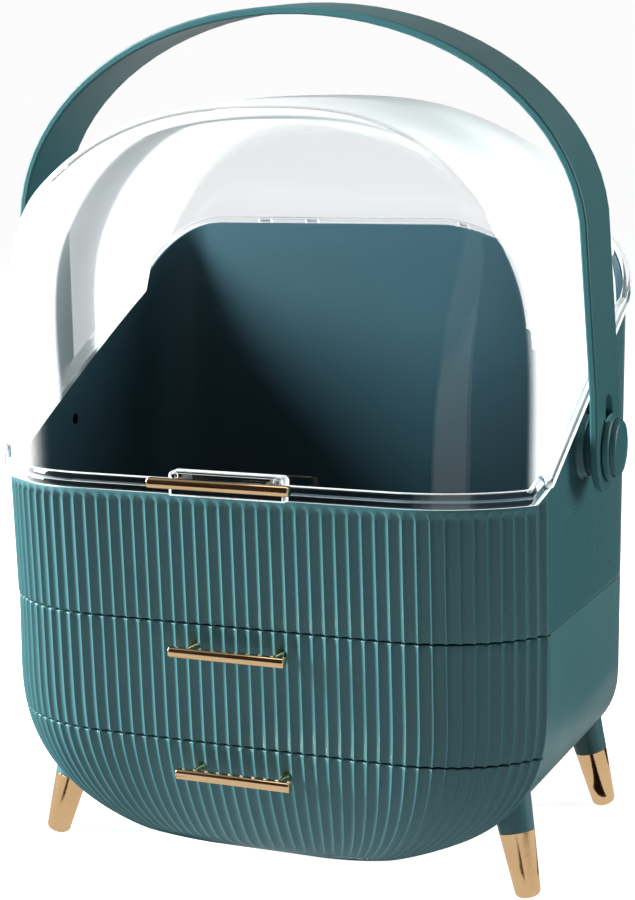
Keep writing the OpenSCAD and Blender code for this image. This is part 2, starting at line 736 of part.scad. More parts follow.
module hinge_pins() color(steel) mirrored()
    translate([hinge_x - case_knuckle_l / 2 - lid_knuckle_l - run_gap, hinge_y, hinge_z])
        rotate([0, 90, 0]) cylinder(r = hinge_pin_r, h = case_knuckle_l + 2 * (lid_knuckle_l + run_gap));

// ---------- handle ----------

// outer edge of the strap seen from the front, moved in by inset: straight, tapered, then arched
function strap_edge(inset) = concat(
    [[handle_half_w - inset, -2 * strap_w], [handle_half_w - inset, straight_leg]],
    [for (i = [0 : 40]) let(t = 180 * i / 40)
        [(arch_half_w - inset) * cos(t), leg_len + (arch_h - inset) * sin(t)]],
    [[-handle_half_w + inset, straight_leg], [-handle_half_w + inset, -2 * strap_w]]);

module in_handle_frame() {
    translate([0, pivot_y, pivot_z]) rotate([handle_lean, 0, 0]) children();
}

// a round-ended bar along X: from height base upwards, over its length
module slot_shape(width, length, base, x, depth) {
    translate([x, 0, base + width / 2]) rotate([90, 0, 90]) linear_extrude(depth) {
        circle(d = width);
        translate([-width / 2, 0]) square([width, length - width]);
        translate([0, length - width]) circle(d = width);
    }
}

module handle_strap() color(teal) in_handle_frame() difference() {
    intersection() {
        along_y(-strap_w / 2, strap_w / 2) difference() {
            polygon(strap_edge(0));
            polygon(strap_edge(strap_t));
        }
        // rounded lower ends
        union() {
            translate([-body_w, -strap_w, 0]) cube([2 * body_w, 2 * strap_w, leg_len + arch_h + 10]);
            translate([-body_w, 0, 0]) rotate([0, 90, 0]) cylinder(r = strap_w / 2, h = 2 * body_w);
        }
    }
    mirrored() slot_shape(slot_w, slot_len, -slider_len / 2 - run_gap, handle_half_w - 10, 20);
}

module pivot_hub() color(teal_dark) in_handle_frame() difference() {
    union() {
        translate([boss_x + run_gap, 0, 0]) rotate([0, 90, 0])
            cylinder(r = disc_r - 2, h = strap_in - boss_x - 2 * run_gap);
        slot_shape(slot_w - 2 * run_gap, slider_len, -slider_len / 2, strap_in - 1,
            disc_x - strap_in + 1);
    }
    translate([boss_x, 0, 0]) rotate([0, 90, 0]) cylinder(r = pivot_pin_r + 0.05, h = 30);
}

module pivot_disc() color(teal_dark) in_handle_frame() difference() {
    translate([disc_x, 0, 0]) rotate([0, 90, 0]) cylinder(r = disc_r, h = disc_t);
    translate([disc_x - 1, 0, 0]) rotate([0, 90, 0]) cylinder(r = pivot_pin_r + 0.05, h = 30);
}

module pivot_cap() color(teal) in_handle_frame()
    translate([cap_x, 0, 0]) rotate([0, 90, 0]) rotate_extrude() polygon(concat([[0, 0]],
        [for (i = [0 : 10]) let(a = 90 * i / 10)
            [cap_r - 2.2 + 2.2 * cos(a), cap_h * (0.45 + 0.35 * sin(a))]],
        [[cap_r * 0.35, cap_h * 0.97], [0, cap_h]]));

module pivot_pin() color(steel) at_pivot(half_w - wall)
    cylinder(r = pivot_pin_r, h = cap_x - half_w + wall - 0.4);

module pivot_hub_right() pivot_hub();
module pivot_hub_left() mirror([1, 0, 0]) pivot_hub();
module pivot_disc_right() pivot_disc();
module pivot_disc_left() mirror([1, 0, 0]) pivot_disc();
module pivot_cap_right() pivot_cap();
module pivot_cap_left() mirror([1, 0, 0]) pivot_cap();
module pivot_pin_right() pivot_pin();
module pivot_pin_left() mirror([1, 0, 0]) pivot_pin();

// ---------- legs ----------

// how far a leaning round-ended foot would sink, so that it can be set down on the floor
leg_tilt = acos(cos(leg_splay) * cos(leg_lean));
foot_sink = foot_round * cos(leg_tilt) - (foot_r - foot_round) * sin(leg_tilt) - foot_round;

module leg_frame(back) {
    translate([foot_x, back ? back_foot_y : front_foot_y, -foot_sink - foot_flat])
        rotate([back ? leg_lean : -leg_lean, -leg_splay, 0]) children();
}

ferrule_len = ferrule_z / cos(leg_splay);
leg_len_up = (leg_top_z - ferrule_z) / cos(leg_splay);
stud_len = 13;
foot_flat = 0.6;

module ferrule(back) color(gold) difference() {
    leg_frame(back) rotate_extrude() polygon(concat([[0, 0]],
        [for (i = [0 : 8]) let(a = -90 + 90 * i / 8)
            [foot_r - foot_round + foot_round * cos(a), foot_round + foot_round * sin(a)]],
        [[leg_r, ferrule_len], [0, ferrule_len]]));
    // flat that stands on the floor
    translate([foot_x - 20, (back ? back_foot_y : front_foot_y) - 20, -10]) cube([40, 40, 10]);
}

module leg_stud(back) leg_frame(back) translate([0, 0, ferrule_len + 1])
    cylinder(r = screw_r, h = stud_len);

module leg(back) color(teal) difference() {
    leg_frame(back) translate([0, 0, ferrule_len])
        cylinder(r1 = leg_r, r2 = leg_r + 1.8, h = leg_len_up);
    along_y(30, body_d + 30) side_outline_2d(0, 0, seam_lower_z);
    leg_stud(back);
}

module leg_front_right() leg(false);
module leg_front_left() mirror([1, 0, 0]) leg(false);
module leg_back_right() leg(true);
module leg_back_left() mirror([1, 0, 0]) leg(true);
module ferrule_front_right() ferrule(false);
module ferrule_front_left() mirror([1, 0, 0]) ferrule(false);
module ferrule_back_right() ferrule(true);
module ferrule_back_left() mirror([1, 0, 0]) ferrule(true);

module leg_studs() color(steel) mirrored() {
    leg_stud(false);
    leg_stud(true);
}

module case_screws() color(steel) case_screw_places() {
    translate([0, 0, -case_boss_h + 12]) cylinder(r = screw_r, h = case_boss_h - 12 + wall + eps);
    translate([0, 0, wall]) cylinder(r = screw_head_r, h = screw_head_t);
}

translate([0, -y_mid, 0]) {
    upper_case();
    lower_case();
    drawer_shelf();
    upper_drawer_front();
    upper_drawer_tray();
    lower_drawer_front();
    lower_drawer_tray();
    upper_tray_screws();
    lower_tray_screws();
    lid();
    lid_pull();
    upper_drawer_pull();
    lower_drawer_pull();
    lid_pull_screws();
    upper_pull_screws();
    lower_pull_screws();
    hinge_pins();
    handle_strap();
    pivot_hub_left();
    pivot_hub_right();
    pivot_disc_left();
    pivot_disc_right();
    pivot_cap_left();
    pivot_cap_right();
    pivot_pin_left();
    pivot_pin_right();
    leg_front_left();
    leg_front_right();
    leg_back_left();
    leg_back_right();
    ferrule_front_left();
    ferrule_front_right();
    ferrule_back_left();
    ferrule_back_right();
    leg_studs();
    case_screws();
}
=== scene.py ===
"""Dustproof makeup organizer: a fluted teal case with two drawers, a clear hinged dome, a carrying
handle and four gold-tipped legs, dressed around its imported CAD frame.

Sizes in the classes are millimetres measured from the flat front at the rim (Y), the middle (X) and
the floor (Z); ``to_frame`` turns them into the frame's metres.
"""

import logging
import math
from dataclasses import dataclass, field
from enum import Enum
from typing import Callable, Sequence

import bmesh
import bpy
import numpy as np
from mathutils import Matrix, Vector


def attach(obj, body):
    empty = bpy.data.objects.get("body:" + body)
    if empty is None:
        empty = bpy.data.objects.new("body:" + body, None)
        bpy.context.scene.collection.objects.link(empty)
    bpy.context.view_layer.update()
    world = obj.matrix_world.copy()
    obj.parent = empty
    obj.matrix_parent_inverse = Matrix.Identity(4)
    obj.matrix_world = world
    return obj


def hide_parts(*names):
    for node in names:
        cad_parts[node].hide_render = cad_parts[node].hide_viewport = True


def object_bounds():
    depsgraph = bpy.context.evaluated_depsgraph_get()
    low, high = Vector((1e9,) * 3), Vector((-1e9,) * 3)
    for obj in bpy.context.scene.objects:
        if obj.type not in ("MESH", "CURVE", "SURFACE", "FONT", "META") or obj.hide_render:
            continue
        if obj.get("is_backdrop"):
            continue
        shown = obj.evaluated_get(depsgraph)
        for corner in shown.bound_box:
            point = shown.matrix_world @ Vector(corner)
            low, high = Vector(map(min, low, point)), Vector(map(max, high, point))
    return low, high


LOG = logging.getLogger("organizer")
MM = 0.001
DEPTH_SHIFT = 101.95
WELD = 2e-6
THIN = 1e-6
FLAT_ANGLE = 0.4
Colour = tuple[float, float, float]
Profile = Sequence[tuple[float, float]]


class Body(Enum):
    """The moving bodies of the organizer."""

    CASE = "case"
    LID = "lid"
    UPPER_DRAWER = "upper_drawer"
    LOWER_DRAWER = "lower_drawer"
    HUBS = "handle_hubs"
    HANDLE = "handle"


class Slot(Enum):
    """The record's material slots."""

    TEAL = "teal_body"
    TEAL_INNER = "teal_inner"
    CLEAR = "clear_dome"
    GOLD = "gold_metal"
    STEEL = "steel"


def to_frame(points: np.ndarray) -> np.ndarray:
    """Turns millimetres from the front into metres in the frame.

    Args:
        points: An array whose last axis holds x, y and z.

    Returns:
        The same points in metres, with the middle of the depth at zero.
    """
    return (np.asarray(points, float) - (0.0, DEPTH_SHIFT, 0.0)) * MM


def turned(at: tuple[float, float, float], angle: float, axis: str) -> Matrix:
    """Gives the frame of a part that is moved to a place and turned about one axis there.

    Args:
        at: The place in millimetres from the front.
        angle: The turn in radians.
        axis: X, Y or Z.

    Returns:
        The frame.
    """
    return Matrix.Translation(at) @ Matrix.Rotation(angle, 4, axis)


def rounding(radius: float, count: int) -> list[tuple[float, float]]:
    """Walks a quarter circle that rounds the edge between two faces at right angles.

    Args:
        radius: The radius.
        count: The number of points, with both ends.

    Returns:
        Each point's distances from the face it ends at and from the face it starts at.
    """
    angles = np.linspace(0, np.pi / 2, count)
    return [(radius * (1 - math.sin(a)), radius * (1 - math.cos(a))) for a in angles]


# ---------------------------------------------------------------- meshes


class MeshDraft:
    """Gathers points and faces in millimetres before they become one mesh."""

    def __init__(self) -> None:
        """Starts an empty draft."""
        self.points: list[np.ndarray] = []
        self.faces: list[tuple[int, ...]] = []
        self.count = 0

    def grid(self, block: np.ndarray, loop_rows: bool = False, loop_cols: bool = False) -> None:
        """Adds a sheet of quads.

        Args:
            block: Points as (rows, columns, 3).
            loop_rows: Whether the last row joins the first.
            loop_cols: Whether the last column joins the first.
        """
        n, m = block.shape[:2]
        r = np.arange(n if loop_rows else n - 1)[:, None]
        c = np.arange(m if loop_cols else m - 1)[None, :]
        r2, c2 = (r + 1) % n, (c + 1) % m
        quads = np.stack([r * m + c, r * m + c2, r2 * m + c2, r2 * m + c], -1).reshape(-1, 4)
        self.faces.extend(map(tuple, (quads + self.count).tolist()))
        self.points.append(np.asarray(block, float).reshape(-1, 3))
        self.count += n * m

    def cap(self, ring: np.ndarray) -> None:
        """Adds one face through a ring of points.

        Args:
            ring: Points as (count, 3), in order.
        """
        self.faces.append(tuple(range(self.count, self.count + len(ring))))
        self.points.append(np.asarray(ring, float))
        self.count += len(ring)

    def lathe(self, profile: Profile, at: Matrix, turns: int = 64) -> None:
        """Adds a turned form.

        Args:
            profile: Pairs of radius and height along the local Z.
            at: Where the local frame lies, in millimetres from the front.
            turns: The number of steps round.
        """
        angles = np.linspace(0, 2 * math.pi, turns, endpoint=False)
        radius = np.array([p[0] for p in profile])[:, None]
        height = np.array([p[1] for p in profile])[:, None]
        block = np.stack([radius * np.cos(angles), radius * np.sin(angles),
                          np.broadcast_to(height, (len(profile), turns))], -1)
        turn, shift = np.array(at.to_3x3()), np.array(at.translation)
        self.grid(block @ turn.T + shift, loop_cols=True)

    def sweep(self, section: np.ndarray, loop: bool = False) -> None:
        """Adds a closed section carried along a path, with caps where the path is open.

        Args:
            section: Points as (section, stations, 3).
            loop: Whether the path closes on itself.
        """
        self.grid(section, loop_rows=True, loop_cols=loop)
        if not loop:
            self.cap(section[:, 0])
            self.cap(section[:, -1])

    def build(self, name: str, material: bpy.types.Material, sharp: float = 38.0) -> bpy.types.Object:
        """Makes the object.

        Args:
            name: The object's name.
            material: Its finish.
            sharp: Edges that turn more than this many degrees stay sharp.

        Returns:
            The new object, linked to the scene.
        """
        mesh = bpy.data.meshes.new(name)
        mesh.from_pydata(to_frame(np.vstack(self.points)).tolist(), [], self.faces)
        form = bmesh.new()
        form.from_mesh(mesh)
        tidy_form(form, sharp)
        form.to_mesh(mesh)
        form.free()
        return place_object(name, mesh, material)


def tidy_form(form: bmesh.types.BMesh, sharp: float) -> None:
    """Welds a form, turns its faces outwards and marks its sharp edges.

    Args:
        form: The form to tidy.
        sharp: The angle in degrees above which an edge stays sharp.
    """
    bmesh.ops.remove_doubles(form, verts=form.verts, dist=WELD)
    bmesh.ops.dissolve_degenerate(form, edges=form.edges, dist=THIN)
    bmesh.ops.recalc_face_normals(form, faces=form.faces)
    limit = math.radians(sharp)
    for edge in form.edges:
        edge.smooth = len(edge.link_faces) == 2 and edge.calc_face_angle(0.0) < limit
    for face in form.faces:
        face.smooth = True


def place_object(name: str, mesh: bpy.types.Mesh, material: bpy.types.Material) -> bpy.types.Object:
    """Links a mesh to the scene as an object with one finish.

    Args:
        name: The object's name.
        mesh: Its mesh.
        material: Its finish.

    Returns:
        The new object.
    """
    made = bpy.data.objects.new(name, mesh)
    bpy.context.scene.collection.objects.link(made)
    mesh.materials.clear()
    mesh.materials.append(material)
    return made


def softened_copy(node: str, name: str, material: bpy.types.Material, width: float = 0.5,
                  steps: int = 2, angle: float = 40.0) -> bpy.types.Object:
    """Copies a CAD node's solid into a new object with rounded edges.

    Args:
        node: The CAD node.
        name: The new object's name.
        material: Its finish.
        width: The rounding in millimetres.
        steps: The steps of each rounding.
        angle: Edges that turn less than this many degrees are left smooth.

    Returns:
        The new object.
    """
    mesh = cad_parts[node].data.copy()
    mesh.name = name
    form = bmesh.new()
    form.from_mesh(mesh)
    bmesh.ops.remove_doubles(form, verts=form.verts, dist=WELD)
    bmesh.ops.dissolve_limit(form, angle_limit=math.radians(FLAT_ANGLE), verts=form.verts, edges=form.edges)
    tidy_form(form, angle)
    form.to_mesh(mesh)
    form.free()
    made = place_object(name, mesh, material)
    bevel = made.modifiers.new("soft_edges", "BEVEL")
    bevel.width = width * MM
    bevel.segments = steps
    bevel.limit_method = "ANGLE"
    bevel.angle_limit = math.radians(angle)
    bevel.use_clamp_overlap = True
    bevel.harden_normals = False
    return made


def hand_over(piece: bpy.types.Object, body: Body, slot: Slot, *nodes: str) -> None:
    """Hangs a finished piece on its body's empty and hides the CAD nodes that it stands for.

    Args:
        piece: The piece.
        body: The body it moves with.
        slot: Not used.
        *nodes: The CAD nodes that it stands for.
    """
    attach(piece, body.value)
    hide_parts(*nodes)
    LOG.info("%s rides on %s: %d faces", piece.name, body.value, len(piece.data.polygons))


# ---------------------------------------------------------------- effects and finishes


class NodeDesk:
    """Adds and wires nodes in one node tree."""

    def __init__(self, tree: bpy.types.NodeTree) -> None:
        """Takes the tree to work on."""
        self.tree = tree

    def add(self, kind: str, **settings: object) -> bpy.types.Node:
        """Adds a node.

        Args:
            kind: The node's type.
            **settings: Attributes to set on it.

        Returns:
            The node.
        """
        made = self.tree.nodes.new(kind)
        for key, value in settings.items():
            setattr(made, key, value)
        return made

    def feed(self, node: bpy.types.Node, **values: object) -> bpy.types.Node:
        """Sets or links a node's inputs by name, with spaces written as underscores.

        Args:
            node: The node.
            **values: A number, a colour or a socket for each input.

        Returns:
            The node.
        """
        for key, value in values.items():
            self.give(node.inputs[key.replace("_", " ")], value)
        return node

    def give(self, socket: bpy.types.NodeSocket, value: object) -> None:
        """Links an input to a socket, or sets it to a number, a vector or a colour.

        Args:
            socket: The input.
            value: What it gets.
        """
        if isinstance(value, bpy.types.NodeSocket):
            self.tree.links.new(value, socket)
        elif socket.type == "RGBA":
            socket.default_value = (*value, 1.0)
        else:
            socket.default_value = value

    def place(self) -> bpy.types.NodeSocket:
        """Gives the place on the object, in metres."""
        return self.add("ShaderNodeTexCoord").outputs["Object"]

    def maths(self, operation: str, first: object, second: object) -> bpy.types.NodeSocket:
        """Works out a number from two others.

        Args:
            operation: The Math node's operation.
            first: A number or a socket.
            second: A number or a socket.

        Returns:
            The result.
        """
        made = self.add("ShaderNodeMath", operation=operation)
        self.give(made.inputs[0], first)
        self.give(made.inputs[1], second)
        return made.outputs[0]

    def shift(self, value: bpy.types.NodeSocket, span: float, start: float) -> bpy.types.NodeSocket:
        """Stretches a value by span, moves it up by start and keeps it between 0 and 1.

        Args:
            value: The value.
            span: What it is multiplied by.
            start: What is added.

        Returns:
            The result.
        """
        made = self.add("ShaderNodeMath", operation="MULTIPLY_ADD", use_clamp=True)
        for socket, given in zip(made.inputs, (value, span, start)):
            self.give(socket, given)
        return made.outputs[0]

    def ramp(self, value: bpy.types.NodeSocket, low: object, high: object, start: float = 0.0,
             end: float = 1.0) -> bpy.types.NodeSocket:
        """Maps a value smoothly from one range to another.

        Args:
            value: The value.
            low: Where its range begins.
            high: Where its range ends.
            start: The result at low.
            end: The result at high.

        Returns:
            The result.
        """
        made = self.add("ShaderNodeMapRange", interpolation_type="SMOOTHSTEP")
        self.feed(made, Value=value, From_Min=low, From_Max=high, To_Min=start, To_Max=end)
        return made.outputs["Result"]

    def blend(self, factor: object, first: object, second: object) -> bpy.types.NodeSocket:
        """Mixes two colours.

        Args:
            factor: The share of the second, a number or a socket.
            first: A colour or a socket.
            second: A colour or a socket.

        Returns:
            The colour.
        """
        made = self.add("ShaderNodeMix", data_type="RGBA")
        for socket, value in ((made.inputs[0], factor), (made.inputs[6], first), (made.inputs[7], second)):
            self.give(socket, value)
        return made.outputs[2]

    def mix(self, factor: object, first: bpy.types.NodeSocket,
            second: bpy.types.NodeSocket) -> bpy.types.NodeSocket:
        """Mixes two shaders.

        Args:
            factor: The share of the second, a number or a socket.
            first: A shader.
            second: Another shader.

        Returns:
            The shader.
        """
        made = self.add("ShaderNodeMixShader")
        for socket, value in zip(made.inputs, (factor, first, second)):
            self.give(socket, value)
        return made.outputs[0]

    def noise(self, vector: bpy.types.NodeSocket, scale: object, detail: float,
              rough: float = 0.5) -> bpy.types.NodeSocket:
        """Adds a noise texture.

        Args:
            vector: The place.
            scale: How many lumps there are to a metre.
            detail: How many finer layers lie on them.
            rough: How strong those layers are.

        Returns:
            Its value.
        """
        made = self.add("ShaderNodeTexNoise")
        self.feed(made, Vector=vector, Scale=scale, Detail=detail, Roughness=rough)
        return made.outputs["Fac"]

    def bump(self, height: bpy.types.NodeSocket, strength: float, depth: float) -> bpy.types.NodeSocket:
        """Adds a bump.

        Args:
            height: The height of the surface.
            strength: The share of it that shows.
            depth: The depth of its relief in metres.

        Returns:
            The surface's normal.
        """
        made = self.add("ShaderNodeBump")
        self.feed(made, Strength=strength, Distance=depth, Height=height)
        return made.outputs["Normal"]


@dataclass(frozen=True)
class EffectPort:
    """One named input of an effect group with its usual value."""

    name: str
    value: float


class Effects:
    """The shader groups that several finishes share. Each is built once."""

    def __init__(self) -> None:
        """Builds the groups."""
        self.grain = self._group("moulded_grain",
                                 (EffectPort("Scale", 2600.0), EffectPort("Cloud Scale", 9.0)),
                                 ("Height", "Cloud"), self._draw_grain)
        self.wear = self._group("edge_wear", (EffectPort("Start", 0.52), EffectPort("Full", 0.62)),
                                ("Mask",), self._draw_wear)
        self.dust = self._group("settled_dust", (EffectPort("Scale", 60.0), EffectPort("Reach", 0.55)),
                                ("Mask",), self._draw_dust)
        self.brush = self._group("polish_lines", (EffectPort("Scale", 900.0), EffectPort("Stretch", 0.02)),
                                 ("Height", "Streak"), self._draw_brush)
        self.flow = self._group("moulding_flow", (EffectPort("Scale", 14.0), EffectPort("Fine Scale", 240.0)),
                                ("Height", "Haze"), self._draw_flow)

    @staticmethod
    def _group(name: str, ports: Sequence[EffectPort], outputs: Sequence[str],
               draw: Callable[[NodeDesk, bpy.types.Node, bpy.types.Node], None]) -> bpy.types.NodeTree:
        """Makes one group.

        Args:
            name: The group's name.
            ports: Its inputs.
            outputs: The names of its outputs.
            draw: Draws what lies between them.

        Returns:
            The group.
        """
        tree = bpy.data.node_groups.new(name, "ShaderNodeTree")
        for port in ports:
            made = tree.interface.new_socket(name=port.name, in_out="INPUT", socket_type="NodeSocketFloat")
            made.default_value = port.value
        for output in outputs:
            tree.interface.new_socket(name=output, in_out="OUTPUT", socket_type="NodeSocketFloat")
        desk = NodeDesk(tree)
        draw(desk, desk.add("NodeGroupInput"), desk.add("NodeGroupOutput"))
        return tree

    @staticmethod
    def _draw_grain(desk: NodeDesk, given: bpy.types.Node, out: bpy.types.Node) -> None:
        """Draws the fine grain of a textured mould and a slow colour variation.

        Args:
            desk: The desk of the group.
            given: The group's inputs.
            out: The group's outputs.
        """
        where = desk.place()
        fine = desk.noise(where, given.outputs["Scale"], 4.0, 0.6)
        cloud = desk.noise(where, given.outputs["Cloud Scale"], 5.0, 0.55)
        desk.feed(out, Height=fine, Cloud=desk.ramp(cloud, 0.3, 0.7))

    @staticmethod
    def _draw_wear(desk: NodeDesk, given: bpy.types.Node, out: bpy.types.Node) -> None:
        """Draws a mask along outward edges, broken up by noise.

        Args:
            desk: The desk of the group.
            given: The group's inputs.
            out: The group's outputs.
        """
        edge = desk.ramp(desk.add("ShaderNodeNewGeometry").outputs["Pointiness"], given.outputs["Start"],
                         given.outputs["Full"])
        broken = desk.ramp(desk.noise(desk.place(), 180.0, 6.0, 0.65), 0.38, 0.62, 0.35, 1.0)
        desk.feed(out, Mask=desk.maths("MULTIPLY", edge, broken))

    @staticmethod
    def _draw_dust(desk: NodeDesk, given: bpy.types.Node, out: bpy.types.Node) -> None:
        """Draws a mask on faces that look upwards, in soft specks.

        Args:
            desk: The desk of the group.
            given: The group's inputs.
            out: The group's outputs.
        """
        split = desk.add("ShaderNodeSeparateXYZ")
        desk.feed(split, Vector=desk.add("ShaderNodeNewGeometry").outputs["Normal"])
        facing = desk.ramp(split.outputs["Z"], given.outputs["Reach"], 1.0)
        specks = desk.ramp(desk.noise(desk.place(), given.outputs["Scale"], 8.0, 0.7), 0.4, 0.75, 0.2, 1.0)
        desk.feed(out, Mask=desk.maths("MULTIPLY", facing, specks))

    @staticmethod
    def _draw_brush(desk: NodeDesk, given: bpy.types.Node, out: bpy.types.Node) -> None:
        """Draws the faint lines that polishing leaves along a metal part.

        Args:
            desk: The desk of the group.
            given: The group's inputs.
            out: The group's outputs.
        """
        squash = desk.add("ShaderNodeVectorMath", operation="MULTIPLY")
        join = desk.feed(desk.add("ShaderNodeCombineXYZ"), X=given.outputs["Stretch"], Y=1.0, Z=1.0)
        desk.give(squash.inputs[0], desk.place())
        desk.give(squash.inputs[1], join.outputs[0])
        lines = desk.noise(squash.outputs[0], given.outputs["Scale"], 3.0, 0.6)
        desk.feed(out, Height=lines, Streak=desk.ramp(lines, 0.35, 0.65))

    @staticmethod
    def _draw_flow(desk: NodeDesk, given: bpy.types.Node, out: bpy.types.Node) -> None:
        """Draws the slow waviness of a clear moulding and its faint haze.

        Args:
            desk: The desk of the group.
            given: The group's inputs.
            out: The group's outputs.
        """
        where = desk.place()
        slow = desk.noise(where, given.outputs["Scale"], 2.0, 0.4)
        fine = desk.noise(where, given.outputs["Fine Scale"], 6.0, 0.7)
        desk.feed(out, Height=slow, Haze=desk.ramp(fine, 0.55, 0.8))

    @staticmethod
    def use(desk: NodeDesk, tree: bpy.types.NodeTree, **values: float) -> bpy.types.Node:
        """Places a group in a material.

        Args:
            desk: The desk of the material.
            tree: The group.
            **values: Its own values.

        Returns:
            The group's node.
        """
        made = desk.add("ShaderNodeGroup", node_tree=tree)
        return desk.feed(made, **values)


def new_material(name: str) -> tuple[bpy.types.Material, NodeDesk, bpy.types.Node, bpy.types.Node]:
    """Starts a material.

    Args:
        name: The material's name.

    Returns:
        The material, a desk on its nodes, its main shader and its output.
    """
    made = bpy.data.materials.new(name)
    made.use_nodes = True
    made.node_tree.nodes.clear()
    desk = NodeDesk(made.node_tree)
    shader = desk.add("ShaderNodeBsdfPrincipled")
    out = desk.add("ShaderNodeOutputMaterial")
    desk.feed(out, Surface=shader.outputs[0])
    return made, desk, shader, out


@dataclass(frozen=True)
class PlasticFinish:
    """A moulded plastic with a fine mould grain, worn edges and a little dust."""

    name: str
    colour: Colour
    deep: Colour
    worn: Colour
    roughness: float
    grain_scale: float = 2600.0
    grain_depth: float = 0.00006
    grain_strength: float = 0.35
    specular: float = 0.25
    rough_span: float = 0.08
    wear: float = 0.35
    dust: float = 0.05
    dust_colour: Colour = (0.55, 0.56, 0.54)

    def make(self, effects: Effects) -> bpy.types.Material:
        """Makes the material.

        Args:
            effects: The shared effect groups.

        Returns:
            The material.
        """
        made, desk, shader, _ = new_material(self.name)
        grain = effects.use(desk, effects.grain, Scale=self.grain_scale)
        wear = effects.use(desk, effects.wear)
        dust = effects.use(desk, effects.dust)
        base = desk.blend(grain.outputs["Cloud"], self.colour, self.deep)
        base = desk.blend(desk.maths("MULTIPLY", wear.outputs["Mask"], self.wear), base, self.worn)
        base = desk.blend(desk.maths("MULTIPLY", dust.outputs["Mask"], self.dust), base, self.dust_colour)
        desk.feed(shader, Base_Color=base, Specular_IOR_Level=self.specular,
                  Roughness=desk.shift(grain.outputs["Cloud"], self.rough_span,
                                       self.roughness - self.rough_span / 2),
                  Normal=desk.bump(grain.outputs["Height"], self.grain_strength, self.grain_depth))
        return made


@dataclass(frozen=True)
class MetalFinish:
    """A plated metal with polishing lines and small changes of tone."""

    name: str
    colour: Colour
    deep: Colour
    roughness: float
    stretch: float = 0.02
    line_strength: float = 0.08
    line_depth: float = 0.00003
    rough_span: float = 0.07
    tone_scale: float = 1400.0
    tone_cloud: float = 40.0
    tone_share: float = 0.45

    def make(self, effects: Effects) -> bpy.types.Material:
        """Makes the material.

        Args:
            effects: The shared effect groups.

        Returns:
            The material.
        """
        made, desk, shader, _ = new_material(self.name)
        brush = effects.use(desk, effects.brush, Stretch=self.stretch)
        grain = effects.use(desk, effects.grain, Scale=self.tone_scale, Cloud_Scale=self.tone_cloud)
        tone = desk.maths("MULTIPLY", grain.outputs["Cloud"], self.tone_share)
        desk.feed(shader, Base_Color=desk.blend(tone, self.colour, self.deep), Metallic=1.0,
                  Roughness=desk.shift(brush.outputs["Streak"], self.rough_span, self.roughness),
                  Normal=desk.bump(brush.outputs["Height"], self.line_strength, self.line_depth))
        return made


@dataclass(frozen=True)
class ClearFinish:
    """A clear moulding that light passes through, with slow waves, a faint haze and a painted sheen that
    turns it milky white where it is seen edge-on.
    """

    name: str
    colour: Colour
    ior: float = 1.46
    wave_strength: float = 0.12
    wave_depth: float = 0.0009
    haze: float = 0.12
    grazing_sheen: Colour = (0.80, 0.82, 0.81)
    sheen_from: float = 0.25
    sheen_full: float = 0.72
    sheen_share: float = 0.8
    shade: Colour = (0.95, 0.97, 0.975)

    def make(self, effects: Effects) -> bpy.types.Material:
        """Makes the material.

        Args:
            effects: The shared effect groups.

        Returns:
            The material.
        """
        made, desk, shader, out = new_material(self.name)
        flow = effects.use(desk, effects.flow)
        desk.feed(shader, Base_Color=self.colour, IOR=self.ior, Transmission_Weight=1.0,
                  Roughness=desk.maths("MULTIPLY", flow.outputs["Haze"], self.haze),
                  Normal=desk.bump(flow.outputs["Height"], self.wave_strength, self.wave_depth))
        # Painted sheen: a milky white is mixed in by viewing angle. It stands in for the grazing reflection
        # of the white surroundings, and a little of it is haze.
        slant = desk.feed(desk.add("ShaderNodeLayerWeight"), Blend=0.5).outputs["Facing"]
        share = desk.ramp(slant, self.sheen_from, self.sheen_full, 0.0, self.sheen_share)
        front, through = (desk.feed(desk.add(kind), Color=self.grazing_sheen).outputs[0]
                          for kind in ("ShaderNodeBsdfDiffuse", "ShaderNodeBsdfTranslucent"))
        body = desk.mix(share, shader.outputs[0], desk.mix(0.5, front, through))
        passed = desk.feed(desk.add("ShaderNodeBsdfTransparent"), Color=self.shade).outputs[0]
        desk.feed(out, Surface=desk.mix(self._only_passes(desk), body, passed))
        return made

    @staticmethod
    def _only_passes(desk: NodeDesk) -> bpy.types.NodeSocket:
        """Tells the shadows, the soft light and the reflections that go straight through.

        Args:
            desk: The desk of the material.

        Returns:
            1 where light goes straight through, else 0.
        """
        path = desk.add("ShaderNodeLightPath").outputs
        soft = desk.maths("MAXIMUM", path["Is Shadow Ray"], path["Is Diffuse Ray"])
        mirrored = desk.maths("GREATER_THAN", path["Is Glossy Ray"], path["Is Transmission Ray"])
        return desk.maths("MAXIMUM", soft, mirrored)


